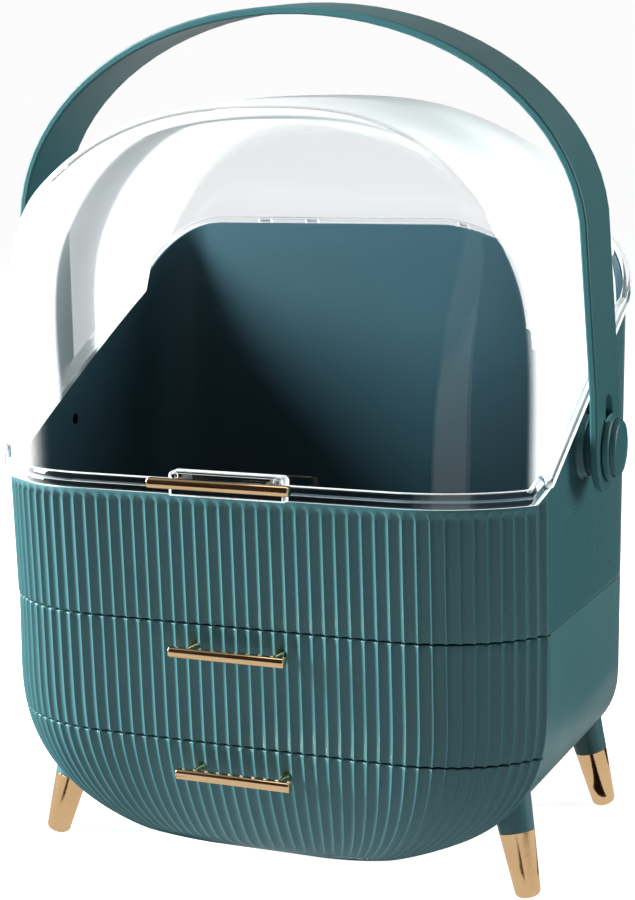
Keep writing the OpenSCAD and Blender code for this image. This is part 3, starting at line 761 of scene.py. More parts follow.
class Palette:
    """All finishes of the organizer, made once."""

    def __init__(self) -> None:
        """Makes the materials."""
        effects = Effects()
        worn = (0.10, 0.22, 0.22)
        self.teal = PlasticFinish("teal_moulding", (0.030, 0.105, 0.117), (0.026, 0.094, 0.107), worn,
                                  0.31, grain_strength=0.12, specular=0.38).make(effects)
        self.side = PlasticFinish("teal_side", (0.038, 0.118, 0.128), (0.034, 0.107, 0.117), worn,
                                  0.42, grain_strength=0.12, specular=0.2).make(effects)
        # Painted shade: the inside teal is a darker, bluer copy of the moulding's teal. It stands in for the
        # shade inside the compartment and the drawers, and the pivot sliders take it too.
        self.inner = PlasticFinish("teal_painted_shade", (0.027, 0.072, 0.092), (0.023, 0.064, 0.083),
                                   (0.04, 0.11, 0.14), 0.4, grain_strength=0.04, specular=0.2, wear=0.2,
                                   dust=0.01).make(effects)
        self.strap = PlasticFinish("teal_strap", (0.028, 0.098, 0.106), (0.024, 0.088, 0.096), worn, 0.36,
                                   grain_strength=0.12, specular=0.18).make(effects)
        self.gold = MetalFinish("polished_gold", (0.95, 0.66, 0.38), (0.82, 0.51, 0.25), 0.09).make(effects)
        self.tip = MetalFinish("satin_gold", (0.95, 0.64, 0.34), (0.84, 0.52, 0.25), 0.1,
                               stretch=1.0).make(effects)
        self.steel = MetalFinish("bright_steel", (0.62, 0.63, 0.65), (0.45, 0.46, 0.48), 0.26).make(effects)
        self.clear = ClearFinish("clear_moulding", (0.985, 0.993, 1.0)).make(effects)


# ---------------------------------------------------------------- the outlines of the case


@dataclass(frozen=True)
class CasePlan:
    """Sizes and outlines of the fluted case."""

    half: float = 140.0
    depth: float = 212.0
    flat_half: float = 77.0
    front_radius: float = 71.0
    back_radius: float = 32.0
    lean: float = 0.075
    rim: float = 195.0
    upper_seam: float = 132.0
    lower_seam: float = 73.0
    seam_gap: float = 0.8
    bottom: float = 12.0
    curve_from: float = 99.0
    side_power: float = 2.56
    recess: float = 29.0
    recess_power: float = 1.6
    wall: float = 2.6
    flute_count: int = 48
    flute_depth: float = 1.8
    flute_margin: float = 0.6
    flute_steps: int = 12
    ridge_softness: float = 0.09
    band: float = 3.4
    edge_side: float = 2.5
    run_gap: float = 0.3
    panel_top: float = 314.0
    panel_radius: float = 38.0
    side_rim: float = 202.0
    side_slope: float = 0.519
    rim_ramp: float = 7.0
    keel: float = 1.0
    split_spare: float = 1.0
    knuckle: float = 4.0
    hinge_x: float = 60.0
    hinge_drop: float = 6.0
    pivot_y: float = 101.0
    pivot_z: float = 213.0

    @property
    def turn(self) -> float:
        """The angle of the front corner's arc, in radians."""
        return math.asin((self.half - self.flat_half) / self.front_radius)

    @property
    def corner_depth(self) -> float:
        """How far back the front corner's arc ends."""
        return self.front_radius * (1 - math.cos(self.turn))

    @property
    def half_length(self) -> float:
        """Half the length of the front along its curve."""
        return self.flat_half + self.front_radius * self.turn

    @property
    def shell(self) -> float:
        """The thickness of the front wall from the flutes' ridges."""
        return self.wall + self.flute_depth

    @property
    def split(self) -> float:
        """The depth at which the drawers' fronts end."""
        leaned = self.lean * (self.rim - self.upper_seam)
        return self.corner_depth + leaned + self.edge_side + self.split_spare

    @property
    def panel_base(self) -> float:
        """The height at which the back panel's corners begin."""
        return self.panel_top - self.panel_radius

    @property
    def rim_end(self) -> float:
        """The depth at which the sloping side rim meets the back panel's corners."""
        return self.corner_depth + (self.panel_base - self.side_rim) / self.side_slope

    @property
    def pitch(self) -> float:
        """The distance between two flutes."""
        return 2 * (self.half_length - self.flute_margin) / self.flute_count

    @property
    def hinge_y(self) -> float:
        """How far back the hinge's axis lies."""
        return self.depth + self.knuckle + self.run_gap

    @property
    def hinge_z(self) -> float:
        """The height of the hinge's axis."""
        return self.panel_top - self.hinge_drop

    def side_x(self, z: np.ndarray) -> np.ndarray:
        """Half the width of the case at heights z."""
        q = np.clip((self.curve_from - z) / (self.curve_from - self.bottom + self.keel), 0, 1)
        return self.half * (1 - q ** self.side_power) ** (1 / self.side_power)

    def front_y(self, z: np.ndarray) -> np.ndarray:
        """Tells how far back the flat middle of the front lies.

        Args:
            z: The heights.

        Returns:
            The depths.
        """
        q = np.clip((self.lower_seam - z) / (self.lower_seam - self.bottom + self.keel), 0, 1)
        tuck = 1 - (1 - q ** self.recess_power) ** (1 / self.recess_power)
        return self.lean * (self.rim - z) + self.recess * tuck

    def stations(self) -> np.ndarray:
        """Gives arc lengths along the front, close together at the flutes' ridges.

        Returns:
            The arc lengths.
        """
        share = 0.5 - 0.5 * np.cos(np.pi * np.arange(self.flute_steps) / self.flute_steps)
        start = -self.half_length + self.flute_margin
        flutes = (start + (np.arange(self.flute_count)[:, None] + share) * self.pitch).ravel()
        ends = [self.half_length - self.flute_margin, self.half_length]
        return np.concatenate([[-self.half_length], flutes, ends])

    def across(self, s: np.ndarray) -> np.ndarray:
        """Where arc lengths s lie in their flute: 0 in its middle, 1 at the ridges."""
        return np.abs(2 * (((s + self.half_length - self.flute_margin) / self.pitch) % 1.0) - 1)

    def hollow(self, s: np.ndarray) -> np.ndarray:
        """Gives the depth of the round flutes below their soft ridges.

        Args:
            s: Arc lengths from the middle of the front.

        Returns:
            The depths.
        """
        soft = self.ridge_softness
        v = 1 - (np.hypot(1 - self.across(s), soft) - soft) / (math.hypot(1, soft) - soft)
        half = self.pitch / 2
        radius = (half * half + self.flute_depth ** 2) / (2 * self.flute_depth)
        depth = np.sqrt(radius ** 2 - (half * v) ** 2) - (radius - self.flute_depth)
        return depth * np.clip((self.half_length - np.abs(s)) / self.flute_margin, 0, 1)

    def plan(self, s: np.ndarray, inset: np.ndarray) -> tuple[np.ndarray, np.ndarray]:
        """The plan of the front.

        Args:
            s: Arc lengths from the middle.
            inset: How far inside the outline each point lies.

        Returns:
            The x and the y of the points.
        """
        t = np.maximum(0.0, np.abs(s) - self.flat_half) / self.front_radius
        reach = self.front_radius - inset
        x = np.minimum(np.abs(s), self.flat_half) + reach * np.sin(t)
        return np.sign(s) * x, self.front_radius - reach * np.cos(t)

    def drawn_in(self, x: np.ndarray, y: np.ndarray, z: np.ndarray) -> np.ndarray:
        """Moves plan points to heights z, where the plan draws in with the bowl.

        Args:
            x: The plan's x.
            y: The plan's y.
            z: The heights.

        Returns:
            The points, with x, y and z along the last axis.
        """
        u = x / self.half
        side = self.side_x(z)
        k = np.minimum(0.5, 1 - side / self.half)
        squeeze = (self.split - self.edge_side - self.front_y(z)) / self.corner_depth
        return np.stack(np.broadcast_arrays(side * u * (1 - k * np.abs(u)) / (1 - k),
                                            y * squeeze + self.front_y(z), z), -1)

    def rim_height(self, x: np.ndarray, y: np.ndarray) -> np.ndarray:
        """Gives the height of the rim.

        Args:
            x: The plan's x.
            y: The plan's y.

        Returns:
            The heights.
        """
        side = np.interp(y, [self.corner_depth - self.rim_ramp, self.corner_depth, self.rim_end],
                         [self.rim, self.side_rim, self.panel_base])
        over = np.maximum(0.0, np.abs(x) - (self.half - self.panel_radius))
        arch = self.panel_base + np.sqrt(np.maximum(0.0, self.panel_radius ** 2 - over ** 2))
        return np.where(y > self.rim_end, arch, side)


@dataclass
class Loop:
    """Stations round the plan: the front from left to right, then the sides and the back."""

    plan: CasePlan
    front: np.ndarray
    side_steps: int = 40
    corner_steps: int = 18
    back_steps: int = 36
    s: np.ndarray = field(init=False)
    share: np.ndarray = field(init=False)
    x: np.ndarray = field(init=False)
    y: np.ndarray = field(init=False)
    nx: np.ndarray = field(init=False)
    ny: np.ndarray = field(init=False)

    def __post_init__(self) -> None:
        """Lays out the stations."""
        p = self.plan
        fx, fy = p.plan(self.front, np.zeros_like(self.front))
        t = np.sign(self.front) * np.maximum(0, np.abs(self.front) - p.flat_half) / p.front_radius
        side = np.linspace(0, 1, self.side_steps + 1)
        sy = p.corner_depth + side * (p.depth - p.back_radius - p.corner_depth)
        a = np.linspace(0, np.pi / 2, self.corner_steps + 1)[1:]
        cx = p.half - p.back_radius + p.back_radius * np.cos(a)
        cy = p.depth - p.back_radius + p.back_radius * np.sin(a)
        bx = np.linspace(p.half - p.back_radius, -(p.half - p.back_radius), self.back_steps + 1)[1:-1]
        rest_x = np.concatenate([np.full(len(sy), p.half), cx])
        rest_y = np.concatenate([sy, cy])
        rest_nx = np.concatenate([np.ones(len(sy)), np.cos(a)])
        rest_ny = np.concatenate([np.zeros(len(sy)), np.sin(a)])
        self.x = np.concatenate([fx, rest_x, bx, -rest_x[::-1]])
        self.y = np.concatenate([fy, rest_y, np.full(len(bx), p.depth), rest_y[::-1]])
        self.nx = np.concatenate([np.sin(t), rest_nx, np.zeros(len(bx)), -rest_nx[::-1]])
        self.ny = np.concatenate([-np.cos(t), rest_ny, np.ones(len(bx)), rest_ny[::-1]])
        blank = np.full(len(rest_x) * 2 + len(bx), np.nan)
        self.s = np.concatenate([self.front, blank])
        front_share = np.ones(len(fx))
        side_share = np.concatenate([1 - side, np.zeros(len(a))])
        self.share = np.concatenate([front_share, side_share, np.zeros(len(bx)), side_share[::-1]])


# ---------------------------------------------------------------- the case


@dataclass
class CaseShells:
    """The upper compartment, the lower case and the shelf between the drawers."""

    plan: CasePlan
    palette: Palette
    rim_round: float = 0.9
    edge_round: float = 0.6
    floor_round: float = 2.0
    flute_fade: float = 1.3
    knuckle_length: float = 20.0
    boss_radius: float = 15.0
    boss_out: float = 4.0
    turned_in: float = 0.005
    floor_normal: float = 0.7
    floor_below: float = 5.0

    def upper(self) -> bpy.types.Object:
        """Builds the open compartment with its fluted front, sloping side rims and back panel.

        Returns:
            The compartment.
        """
        p = self.plan
        loop = Loop(p, p.stations())
        floor = p.upper_seam + p.seam_gap / 2
        r, e, f = self.rim_round, self.edge_round, self.floor_round
        rim = p.rim_height(loop.x, loop.y)
        is_front = ~np.isnan(loop.s)
        hollow = np.where(is_front, p.hollow(np.nan_to_num(loop.s)), 0.0)
        across = p.across(np.nan_to_num(loop.s))
        flute_end = p.rim - p.band - 0.5 * p.pitch * (1 - np.sqrt(np.maximum(0, 1 - across ** 2)))
        inner_wall = np.where(is_front, p.shell, p.wall)

        def row(z: np.ndarray, inset: np.ndarray) -> np.ndarray:
            """One ring of points at heights z, moved in by inset."""
            lean = p.lean * (p.rim - z) * loop.share
            return np.stack([loop.x - loop.nx * inset, loop.y - loop.ny * inset + lean,
                             np.broadcast_to(z, loop.x.shape)], -1)

        rows = [row(np.full_like(rim, floor + up), hollow + inward)
                for up, inward in rounding(e, 4)[:0:-1]]
        shares = np.concatenate([np.linspace(0.02, 0.83, 7), np.linspace(0.85, 0.935, 12),
                                 np.linspace(0.95, 1.0, 3)])
        for share in shares:
            z = floor + share * (rim - r - floor)
            z_front = floor + share * (p.rim - r - floor)
            fade = np.clip((flute_end - z_front) / self.flute_fade, 0, 1)
            rows.append(row(z, hollow * np.sqrt(fade * (2 - fade))))
        rows += [row(rim - down, np.full_like(rim, inward)) for down, inward in rounding(r, 5)[1:]]
        rows += [row(rim - down, inner_wall - outward) for outward, down in rounding(r, 5)]
        low = floor + p.wall + f
        rows += [row(low + share * (rim - r - low), inner_wall) for share in (0.9, 0.7, 0.4, 0.12, 0.0)]
        rows += [row(np.full_like(rim, floor + p.wall + up), inner_wall + inward)
                 for up, inward in rounding(f, 5)[1:]]
        draft = MeshDraft()
        draft.grid(np.array(rows), loop_cols=True)
        draft.cap(rows[-1])
        draft.cap(rows[0])
        self._hinge_brackets(draft)
        self._pivot_bosses(draft)
        made = draft.build("upper_compartment", self.palette.teal, sharp=50.0)
        self._paint_inside_shade(made)
        return made

    def _paint_inside_shade(self, piece: bpy.types.Object) -> None:
        """Gives the compartment's inner walls and floor the darker teal that paints the shade inside it.

        Args:
            piece: The compartment.
        """
        p = self.plan
        back = to_frame(np.array([[0.0, p.depth, 0.0]]))[0][1]
        # Painted shade: walls that face inwards and the floor take the darker copy of the teal.
        piece.data.materials.append(self.palette.inner)
        for face in piece.data.polygons:
            centre, normal = face.center, face.normal
            is_wall = centre.x * normal.x + centre.y * normal.y < -self.turned_in and centre.y < back
            is_floor = normal.z > self.floor_normal and centre.z < MM * (p.rim - self.floor_below)
            face.material_index = int(is_wall or is_floor)

    def _hinge_brackets(self, draft: MeshDraft) -> None:
        """Adds the two knuckles behind the back panel and the gussets that carry them.

        Args:
            draft: The compartment's draft.
        """
        p = self.plan
        y, z, k, half = p.hinge_y, p.hinge_z, p.knuckle, self.knuckle_length / 2
        gusset = [(p.depth - 0.6, z - 12), (p.depth + 0.5, z - 12), (y + 1.2, z - 4.4),
                  (y + 3.0, z - 2.2), (y + 1.0, z + 1.5), (p.depth + 0.5, z + 2.6),
                  (p.depth - 0.6, z + 2.6)]
        knuckle = [(1.5, -half), (k - 0.4, -half), (k, -half + 0.4), (k, half - 0.4), (k - 0.4, half),
                   (1.5, half)]
        for x in (-p.hinge_x, p.hinge_x):
            draft.lathe(knuckle, turned((x, y, z), math.pi / 2, "Y"), 40)
            draft.sweep(np.array([[(x + d, *point) for d in (0.2 - half, half - 0.2)]
                                  for point in gusset]))

    def _pivot_bosses(self, draft: MeshDraft) -> None:
        """Adds the round bosses that carry the handle's pivots.

        Args:
            draft: The compartment's draft.
        """
        p = self.plan
        h, r = self.boss_out + 1, self.boss_radius
        boss = [(0.0, 0.0), (r + 1.2, 0.0), (r + 1.2, 1.0), (r + 0.3, 1.5), (r, 2.4), (r, h - 0.5),
                (r - 0.5, h), (0.0, h)]
        for side in (-1, 1):
            at = turned((side * (p.half - 1), p.pivot_y, p.pivot_z), side * math.pi / 2, "Y")
            draft.lathe(boss, at, 72)

    def build(self) -> None:
        """Builds and dresses the case's pieces."""
        hand_over(self.upper(), Body.CASE, Slot.TEAL, "upper_case")
        lower = softened_copy("lower_case", "lower_shell", self.palette.side, 0.5, 2, 32.0)
        hand_over(lower, Body.CASE, Slot.TEAL, "lower_case")
        # The shelf takes the darker copy of the teal that paints the shade between the drawers.
        shelf = softened_copy("drawer_shelf", "shelf_between_drawers", self.palette.inner, 0.4)
        hand_over(shelf, Body.CASE, Slot.TEAL_INNER, "drawer_shelf")


# ---------------------------------------------------------------- drawers


@dataclass
class PullBar:
    """A gold bar with a flat, dark-reflecting face on two posts."""

    length: float
    reach_y: float
    seat_y: float
    z: float
    height: float = 4.8
    post_radius: float = 2.2
    post_spacing: float = 44.0
    post_sunk: float = 1.0
    neck: float = 0.86

    def build(self, name: str, material: bpy.types.Material) -> bpy.types.Object:
        """Builds the bar with its chamfered face and its turned posts.

        Args:
            name: The piece's name.
            material: Its finish.

        Returns:
            The pull.
        """
        h = self.height / 2
        back = h * 0.6
        section = [(-h, -1.55), (-h + 0.22, -1.95), (-h + 0.6, -h + 0.12), (-h + 1.0, -h),
                   (back - 0.4, -h), (back, -h + 0.4), (back, h - 0.4), (back - 0.4, h),
                   (-h + 1.0, h), (-h + 0.6, h - 0.12), (-h + 0.22, 1.95), (-h, 1.55)]
        half = self.length / 2
        ends = [(half, 0.72), (half - 0.12, 0.86), (half - 0.45, 0.96), (half - 0.9, 1.0)]
        stations = [(-x, k) for x, k in ends] + [(x, k) for x, k in reversed(ends)]
        draft = MeshDraft()
        draft.sweep(np.array([[(x, self.reach_y + y * (0.4 + 0.6 * k), self.z + z * k)
                               for x, k in stations] for y, z in section]))
        start = self.reach_y + self.post_sunk
        span, r, thin = self.seat_y - start, self.post_radius, self.post_radius * self.neck
        post = [(0.0, 0.0), (r, 0.0), (r, 0.6), (thin, 1.1), (thin, span - 3.0), (r, span - 2.4),
                (r, span), (0.0, span)]
        for x in (-self.post_spacing / 2, self.post_spacing / 2):
            draft.lathe(post, turned((x, start, self.z), -math.pi / 2, "X"), 40)
        return draft.build(name, material, 30.0)


@dataclass
class DrawerUnit:
    """One drawer: its fluted front, its tray and its pull."""

    plan: CasePlan
    palette: Palette
    title: str
    body: Body
    low: float
    high: float
    inner_low: float
    pull_z: float
    bottom_steps: int
    pull_length: float = 59.0
    pull_reach: float = 12.0
    seat_depth: float = 2.0
    edge_round: float = 0.6
    inner_drop: float = 0.8
    tongue_z: float = 20.0
    tongue_thick: float = 2.2
    tongue_half: float = 30.0
    tongue_reach: tuple[float, float] = (-8.0, 20.0)

    def levels(self) -> np.ndarray:
        """Heights of the outside's rows, close together where the bowl curves under."""
        share = 1 - np.cos(np.linspace(0, np.pi / 2, self.bottom_steps))
        return self.low + self.edge_round + share * (self.high - self.low - 2 * self.edge_round)

    def front(self) -> bpy.types.Object:
        """Builds the front as one shell, fluted outside and smooth inside.

        Returns:
            The drawer's front.
        """
        p, r = self.plan, self.edge_round
        s = p.stations()
        hollow = p.hollow(s)
        back = p.split - p.run_gap

        def outer(z: float, inset: float) -> np.ndarray:
            """One row of the outside."""
            return p.drawn_in(*p.plan(s, hollow + inset), np.full_like(s, z))

        def inner(z: float) -> np.ndarray:
            """One row of the inside, which takes its form from lower down, as the wall has a thickness."""
            form = np.full_like(s, max(p.bottom, z - self.inner_drop * p.shell))
            at = p.drawn_in(*p.plan(s, np.full_like(s, p.shell)), form)
            at[:, 2] = z
            return at

        rows = [outer(self.low + up, inward) for up, inward in rounding(r, 4)[::-1]]
        rows += [outer(z, 0.0) for z in self.levels()[1:-1]]
        rows += [outer(self.high - down, inward) for down, inward in rounding(r, 4)]
        rows += [inner(z) for z in np.linspace(self.high, self.inner_low, 14)]
        under, over = rows[0].copy(), rows[-1].copy()
        under[:, 1] = over[:, 1] = back
        block = np.array([under, *rows, over])
        first, last = block[:, :1].copy(), block[:, -1:].copy()
        first[..., 1] = last[..., 1] = back
        block = np.concatenate([first, block, last], axis=1)
        draft = MeshDraft()
        draft.sweep(block)
        self._tongue(draft)
        return draft.build(f"{self.title}_fluted_front", self.palette.teal, 50.0)

    def _tongue(self, draft: MeshDraft) -> None:
        """Adds the flat tongue that joins the front to the tray.

        Args:
            draft: The front's draft.
        """
        near, far = (self.plan.split + reach for reach in self.tongue_reach)
        low, high, half = self.tongue_z - self.tongue_thick, self.tongue_z, self.tongue_half
        section = ((near, low), (far, low), (far, high), (near, high))
        draft.sweep(np.array([[(-half, y, z), (half, y, z)] for y, z in section]))

    def build(self) -> None:
        """Builds and dresses the drawer's pieces."""
        hand_over(self.front(), self.body, Slot.TEAL, f"{self.title}_front")
        face = float(self.plan.front_y(np.array(self.pull_z)))
        bar = PullBar(self.pull_length, face - self.pull_reach, face + self.seat_depth, self.pull_z)
        hand_over(bar.build(f"{self.title}_bar", self.palette.gold), self.body, Slot.GOLD,
                  f"{self.title}_pull")
        # The tray takes the darker copy of the teal that paints the shade inside the drawer.
        tray = softened_copy(f"{self.title}_tray", f"{self.title}_inner_tray", self.palette.inner, 0.4)
        hand_over(tray, self.body, Slot.TEAL_INNER, f"{self.title}_tray")


# ---------------------------------------------------------------- the lid


@dataclass
class ClearLid:
    """The clear dome with its flange, its tab, its knuckles and its pull."""

    plan: CasePlan
    palette: Palette
    crown: float = 383.0
    window_top: float = 373.0
    shoulder: float = 240.0
    power: float = 2.5
    wall: float = 2.2
    flange_height: float = 7.0
    rear_flange_height: float = 3.2
    flange_out: float = 2.9
    gap: float = 0.3
    window_lean: float = 0.00075
    window_rise: float = 5.0
    crown_y: float = 125.0
    crown_spare: float = 5.0
    crown_soft: float = 16.0
    fall_drop: float = 20.0
    corner_join: float = 8.0
    arch_join: float = 9.0
    window_join: float = 7.0
    fall_join: float = 14.0
    cast_reach: float = 400.0
    cast_steps: int = 26
    lowest_ray: float = -14.0
    ray_count: int = 420
    bend_share: float = 0.75
    front_steps: int = 133
    rim_steps: int = 161
    end_run: float = 14.0
    end_steps: int = 12
    step_down: float = 18.0
    tab_width: float = 58.0
    tab_out: float = 6.0
    tab_height: float = 12.0
    tab_corner: float = 2.5
    bead: float = 0.7
    pull_length: float = 71.0
    pull_reach: float = 8.0
    knuckle_starts: tuple[float, float] = (-18.3, 10.3)
    rows: int = 84
    centre: tuple[float, float, float] = (0.0, 104.0, 214.0)

    @staticmethod
    def _join(first: np.ndarray, second: np.ndarray, radius: float) -> np.ndarray:
        """Gives the larger of two distances, rounded where they meet.

        Args:
            first: Distances.
            second: Other distances.
            radius: The size of the rounding.

        Returns:
            The joined distances.
        """
        near = np.maximum(radius - np.abs(first - second), 0.0) / radius
        return np.maximum(first, second) + near * near * radius * 0.25

    def field(self, at: np.ndarray) -> np.ndarray:
        """How far points lie outside the dome's outer surface, negative inside.

        Args:
            at: Points as (..., 3).

        Returns:
            The distances.
        """
        p = self.plan
        x, y, z = np.maximum(np.abs(at[..., 0]), 1e-3), at[..., 1], at[..., 2]
        ahead = np.maximum(p.front_radius - y, 0)
        front = np.hypot(np.maximum(x - p.flat_half, 0), ahead) - p.front_radius
        qx, qy = x - (p.half - p.back_radius), y - (p.depth - p.back_radius)
        within = np.minimum(np.maximum(qx, qy), 0)
        back = np.hypot(np.maximum(qx, 0), np.maximum(qy, 0)) + within - p.back_radius
        window_y = self.window_lean * (self.window_top - p.rim - self.window_rise) ** 2
        rise = math.atan((self.crown - self.window_top) / (self.crown_y - window_y))
        away = np.hypot(y - self.crown_y, self.crown_soft) - self.crown_soft
        level = self.crown + (z - self.crown) * math.cos(rise) + away * math.sin(rise)
        up, b = np.maximum(level - self.shoulder, 0), self.crown - self.shoulder
        g = ((x / p.half) ** self.power + (up / b) ** self.power) ** (1 / self.power)
        arch = np.hypot(x, up) * (1 - 1 / np.maximum(g, 1e-9))
        window = self.window_lean * np.maximum(0, z - p.rim - self.window_rise) ** 2 - y
        base = p.panel_top - self.fall_drop
        bx, bz = np.maximum(y - self.crown_y, 1e-3), np.maximum(z - base, 1e-3)
        h = np.hypot(bx / (p.depth - self.crown_y), bz / (self.crown + self.crown_spare - base))
        fall = np.hypot(bx, bz) * (1 - 1 / np.maximum(h, 1e-9))
        body = self._join(front, back, self.corner_join)
        for form, radius in ((arch, self.arch_join), (window, self.window_join), (fall, self.fall_join)):
            body = self._join(body, form, radius)
        return body

    def _cast(self, rays: np.ndarray, inset: float) -> np.ndarray:
        """Finds where rays from the centre cross one surface of the dome.

        Args:
            rays: Directions as (..., 3).
            inset: How far inside the outer surface it lies.

        Returns:
            The points.
        """
        low, high = np.zeros(rays.shape[:-1]), np.full(rays.shape[:-1], self.cast_reach)
        centre = np.array(self.centre)
        for _ in range(self.cast_steps):
            middle = (low + high) / 2
            outside = self.field(centre + rays * middle[..., None]) > -inset
            high, low = np.where(outside, middle, high), np.where(outside, low, middle)
        return centre + rays * ((low + high) / 2)[..., None]

    def _surface(self, inset: float, gap: float) -> np.ndarray:
        """Samples one surface of the dome in columns from the rim to the crown.

        Args:
            inset: How far inside the outer surface it lies.
            gap: How far above the case's rim it ends.

        Returns:
            Points as (rows, columns, 3).
        """
        p = self.plan
        reach = np.linspace(-p.half_length, p.half_length, self.front_steps)
        loop = Loop(p, reach, side_steps=34, corner_steps=14, back_steps=40)
        flat = np.stack([loop.x - self.centre[0], loop.y - self.centre[1]], -1)
        flat /= np.linalg.norm(flat, axis=-1, keepdims=True)
        lift = np.radians(np.linspace(self.lowest_ray, 90, self.ray_count))[:, None]
        rays = np.stack([flat[:, 0] * np.cos(lift), flat[:, 1] * np.cos(lift),
                         np.broadcast_to(np.sin(lift), (len(lift), len(flat)))], -1)
        hits = self._cast(rays, inset)
        return np.stack([self._column(hits[:, c], gap) for c in range(hits.shape[1])], 1)

    def _column(self, line: np.ndarray, gap: float) -> np.ndarray:
        """Cuts one line of hits off at the rim and spreads its points, closer where it bends.

        Args:
            line: Points from below the rim to the crown, as (count, 3).
            gap: How far above the case's rim it starts.

        Returns:
            Points as (rows, 3).
        """
        over = line[:, 2] - self.plan.rim_height(line[:, 0], line[:, 1]) - gap
        first = int(np.argmax(over > 0))
        share = over[first - 1] / (over[first - 1] - over[first]) if first else 0.0
        start = line[first - 1] + share * (line[first] - line[first - 1]) if first else line[0]
        line = np.vstack([start, line[first:]])
        step = np.diff(line, axis=0)
        length = np.linalg.norm(step, axis=1)
        heading = step / np.maximum(length, 1e-9)[:, None]
        bend = np.arccos(np.clip((heading[1:] * heading[:-1]).sum(1), -1, 1))
        weight = length / length.sum()
        weight[1:] += self.bend_share * bend / max(bend.sum(), 1e-6)
        run = np.concatenate([[0], np.cumsum(weight)]) / weight.sum()
        want = np.linspace(0, 1, self.rows)
        return np.stack([np.interp(want, run, line[:, k]) for k in range(3)], -1)

    def _rim_frame(self, loop: Loop) -> tuple[np.ndarray, np.ndarray, np.ndarray]:
        """Follows the case's rim.

        Args:
            loop: The stations round the plan.

        Returns:
            The rim's points with the outward and the upward direction at each of them.
        """
        p = self.plan
        line = np.stack([loop.x, loop.y, p.rim_height(loop.x, loop.y)], -1)
        along = np.roll(line, -1, 0) - np.roll(line, 1, 0)
        out = np.stack([loop.nx, loop.ny, np.zeros_like(loop.nx)], -1)
        up = np.cross(along, out)
        up /= np.linalg.norm(up, axis=1, keepdims=True)
        up *= np.sign(up[:, 2:])
        return line, out, up

    def _flange(self, draft: MeshDraft) -> None:
        """Adds the flange round the rim, lower where it passes over the back panel.

        Args:
            draft: The lid's draft.
        """
        p = self.plan
        end, run = p.half_length, self.end_run
        front = np.unique(np.concatenate([np.linspace(-end, end, self.rim_steps),
                                          np.linspace(-end, -end + run, self.end_steps),
                                          np.linspace(end - run, end, self.end_steps)]))
        loop = Loop(p, front, side_steps=44, corner_steps=20, back_steps=216)
        line, out, up = self._rim_frame(loop)
        behind = np.clip((loop.y - p.rim_end + run) / self.step_down, 0, 1)[:, None]
        height = self.flange_height + (self.rear_flange_height - self.flange_height) * behind
        o = self.flange_out
        section = [(-1.6, 0.0), (o - 0.5, 0.0), (o - 0.1, 0.04), (o, 0.11), (o, 0.37), (o - 0.15, 0.44),
                   (o - 0.9, 0.51), (o - 1.3, 0.59), (o - 1.3, 0.87), (o - 1.6, 0.96), (o - 2.1, 1.0),
                   (-1.6, 1.0)]
        block = np.stack([line + out * a + up * (self.gap + height * b) for a, b in section])
        draft.sweep(block, loop=True)

    def _tab(self, draft: MeshDraft) -> None:
        """Adds the tab that carries the pull, with a raised edge and round ends.

        Args:
            draft: The lid's draft.
        """
        p, out, c, b = self.plan, self.tab_out, self.tab_corner, self.bead
        w, z0, z1 = self.tab_width / 2, p.rim + self.gap, p.rim + self.tab_height
        outline = [(w, z0)] + [(w - inward, z1 - down) for down, inward in rounding(c, 6)]
        outline += [(-x, z) for x, z in reversed(outline)]
        depths = [(-out, 0.5), (-out + 0.15, 0.15), (-out + 0.5, 0.0), (0.6, 0.0)]
        draft.sweep(np.array([[(x - math.copysign(d, x), y, z - (d if z > z0 else 0))
                               for y, d in depths] for x, z in outline]))
        edge = [(x, z) for x, z in outline if z > z0]
        path = [(edge[0][0], z0 + 1.5), *edge, (edge[-1][0], z0 + 1.5)]
        ring = np.linspace(0, 2 * np.pi, 10, endpoint=False)
        draft.sweep(np.array([[(x * (1 - b / w), -out + 0.2 + b * math.cos(a),
                                z - 0.5 + b * math.sin(a)) for x, z in path] for a in ring]))
        stud = [(0.0, 0.0), (2.3, 0.0), (2.3, 1.0), (2.0, 1.35), (1.4, 1.35), (1.1, 0.9), (0.0, 0.9)]
        for x in (-w + 2.6, w - 2.6):
            draft.lathe(stud, turned((x, -out + 0.6, z1 - 2.4), math.pi / 2, "X"), 32)

    def _knuckles(self, draft: MeshDraft) -> None:
        """Adds the lid's four hinge knuckles with the webs that hang them from the flange.

        Args:
            draft: The lid's draft.
        """
        p = self.plan
        y, z, k, top = p.hinge_y, p.hinge_z, p.knuckle, p.panel_top + self.gap + 2.0
        web = [(y - k, z), (y - 3.7, z - 0.5), (y + 3.4, z), (y + 3.2, z + 1.6), (y + 0.3, top - 1.6),
               (y - 1.5, top), (y - k, top)]
        knuckle = [(1.6, 0.0), (k - 0.4, 0.0), (k, 0.4), (k, 7.6), (k - 0.4, 8.0), (1.6, 8.0), (1.6, 0.0)]
        for side in (-1, 1):
            for start in self.knuckle_starts:
                x = side * p.hinge_x + start
                draft.lathe(knuckle, turned((x, y, z), math.pi / 2, "Y"), 40)
                draft.sweep(np.array([[(x + d, *point) for d in (0.3, 7.7)] for point in web]))

    def dome(self) -> bpy.types.Object:
        """Builds the clear dome.

        Returns:
            The dome.
        """
        outer, inner = self._surface(0.0, self.gap), self._surface(self.wall, self.gap)
        draft = MeshDraft()
        draft.grid(np.concatenate([inner[::-1], outer]), loop_cols=True)
        self._flange(draft)
        self._tab(draft)
        self._knuckles(draft)
        return draft.build("clear_dome_lid", self.palette.clear, 30.0)

    def build(self) -> None:
        """Builds and dresses the lid's pieces."""
        hand_over(self.dome(), Body.LID, Slot.CLEAR, "lid")
        z = self.plan.rim + self.gap + self.flange_height
        bar = PullBar(self.pull_length, -self.tab_out - self.pull_reach, -self.tab_out, z)
        hand_over(bar.build("lid_bar", self.palette.gold), Body.LID, Slot.GOLD, "lid_pull")


# ---------------------------------------------------------------- handle, legs and fasteners


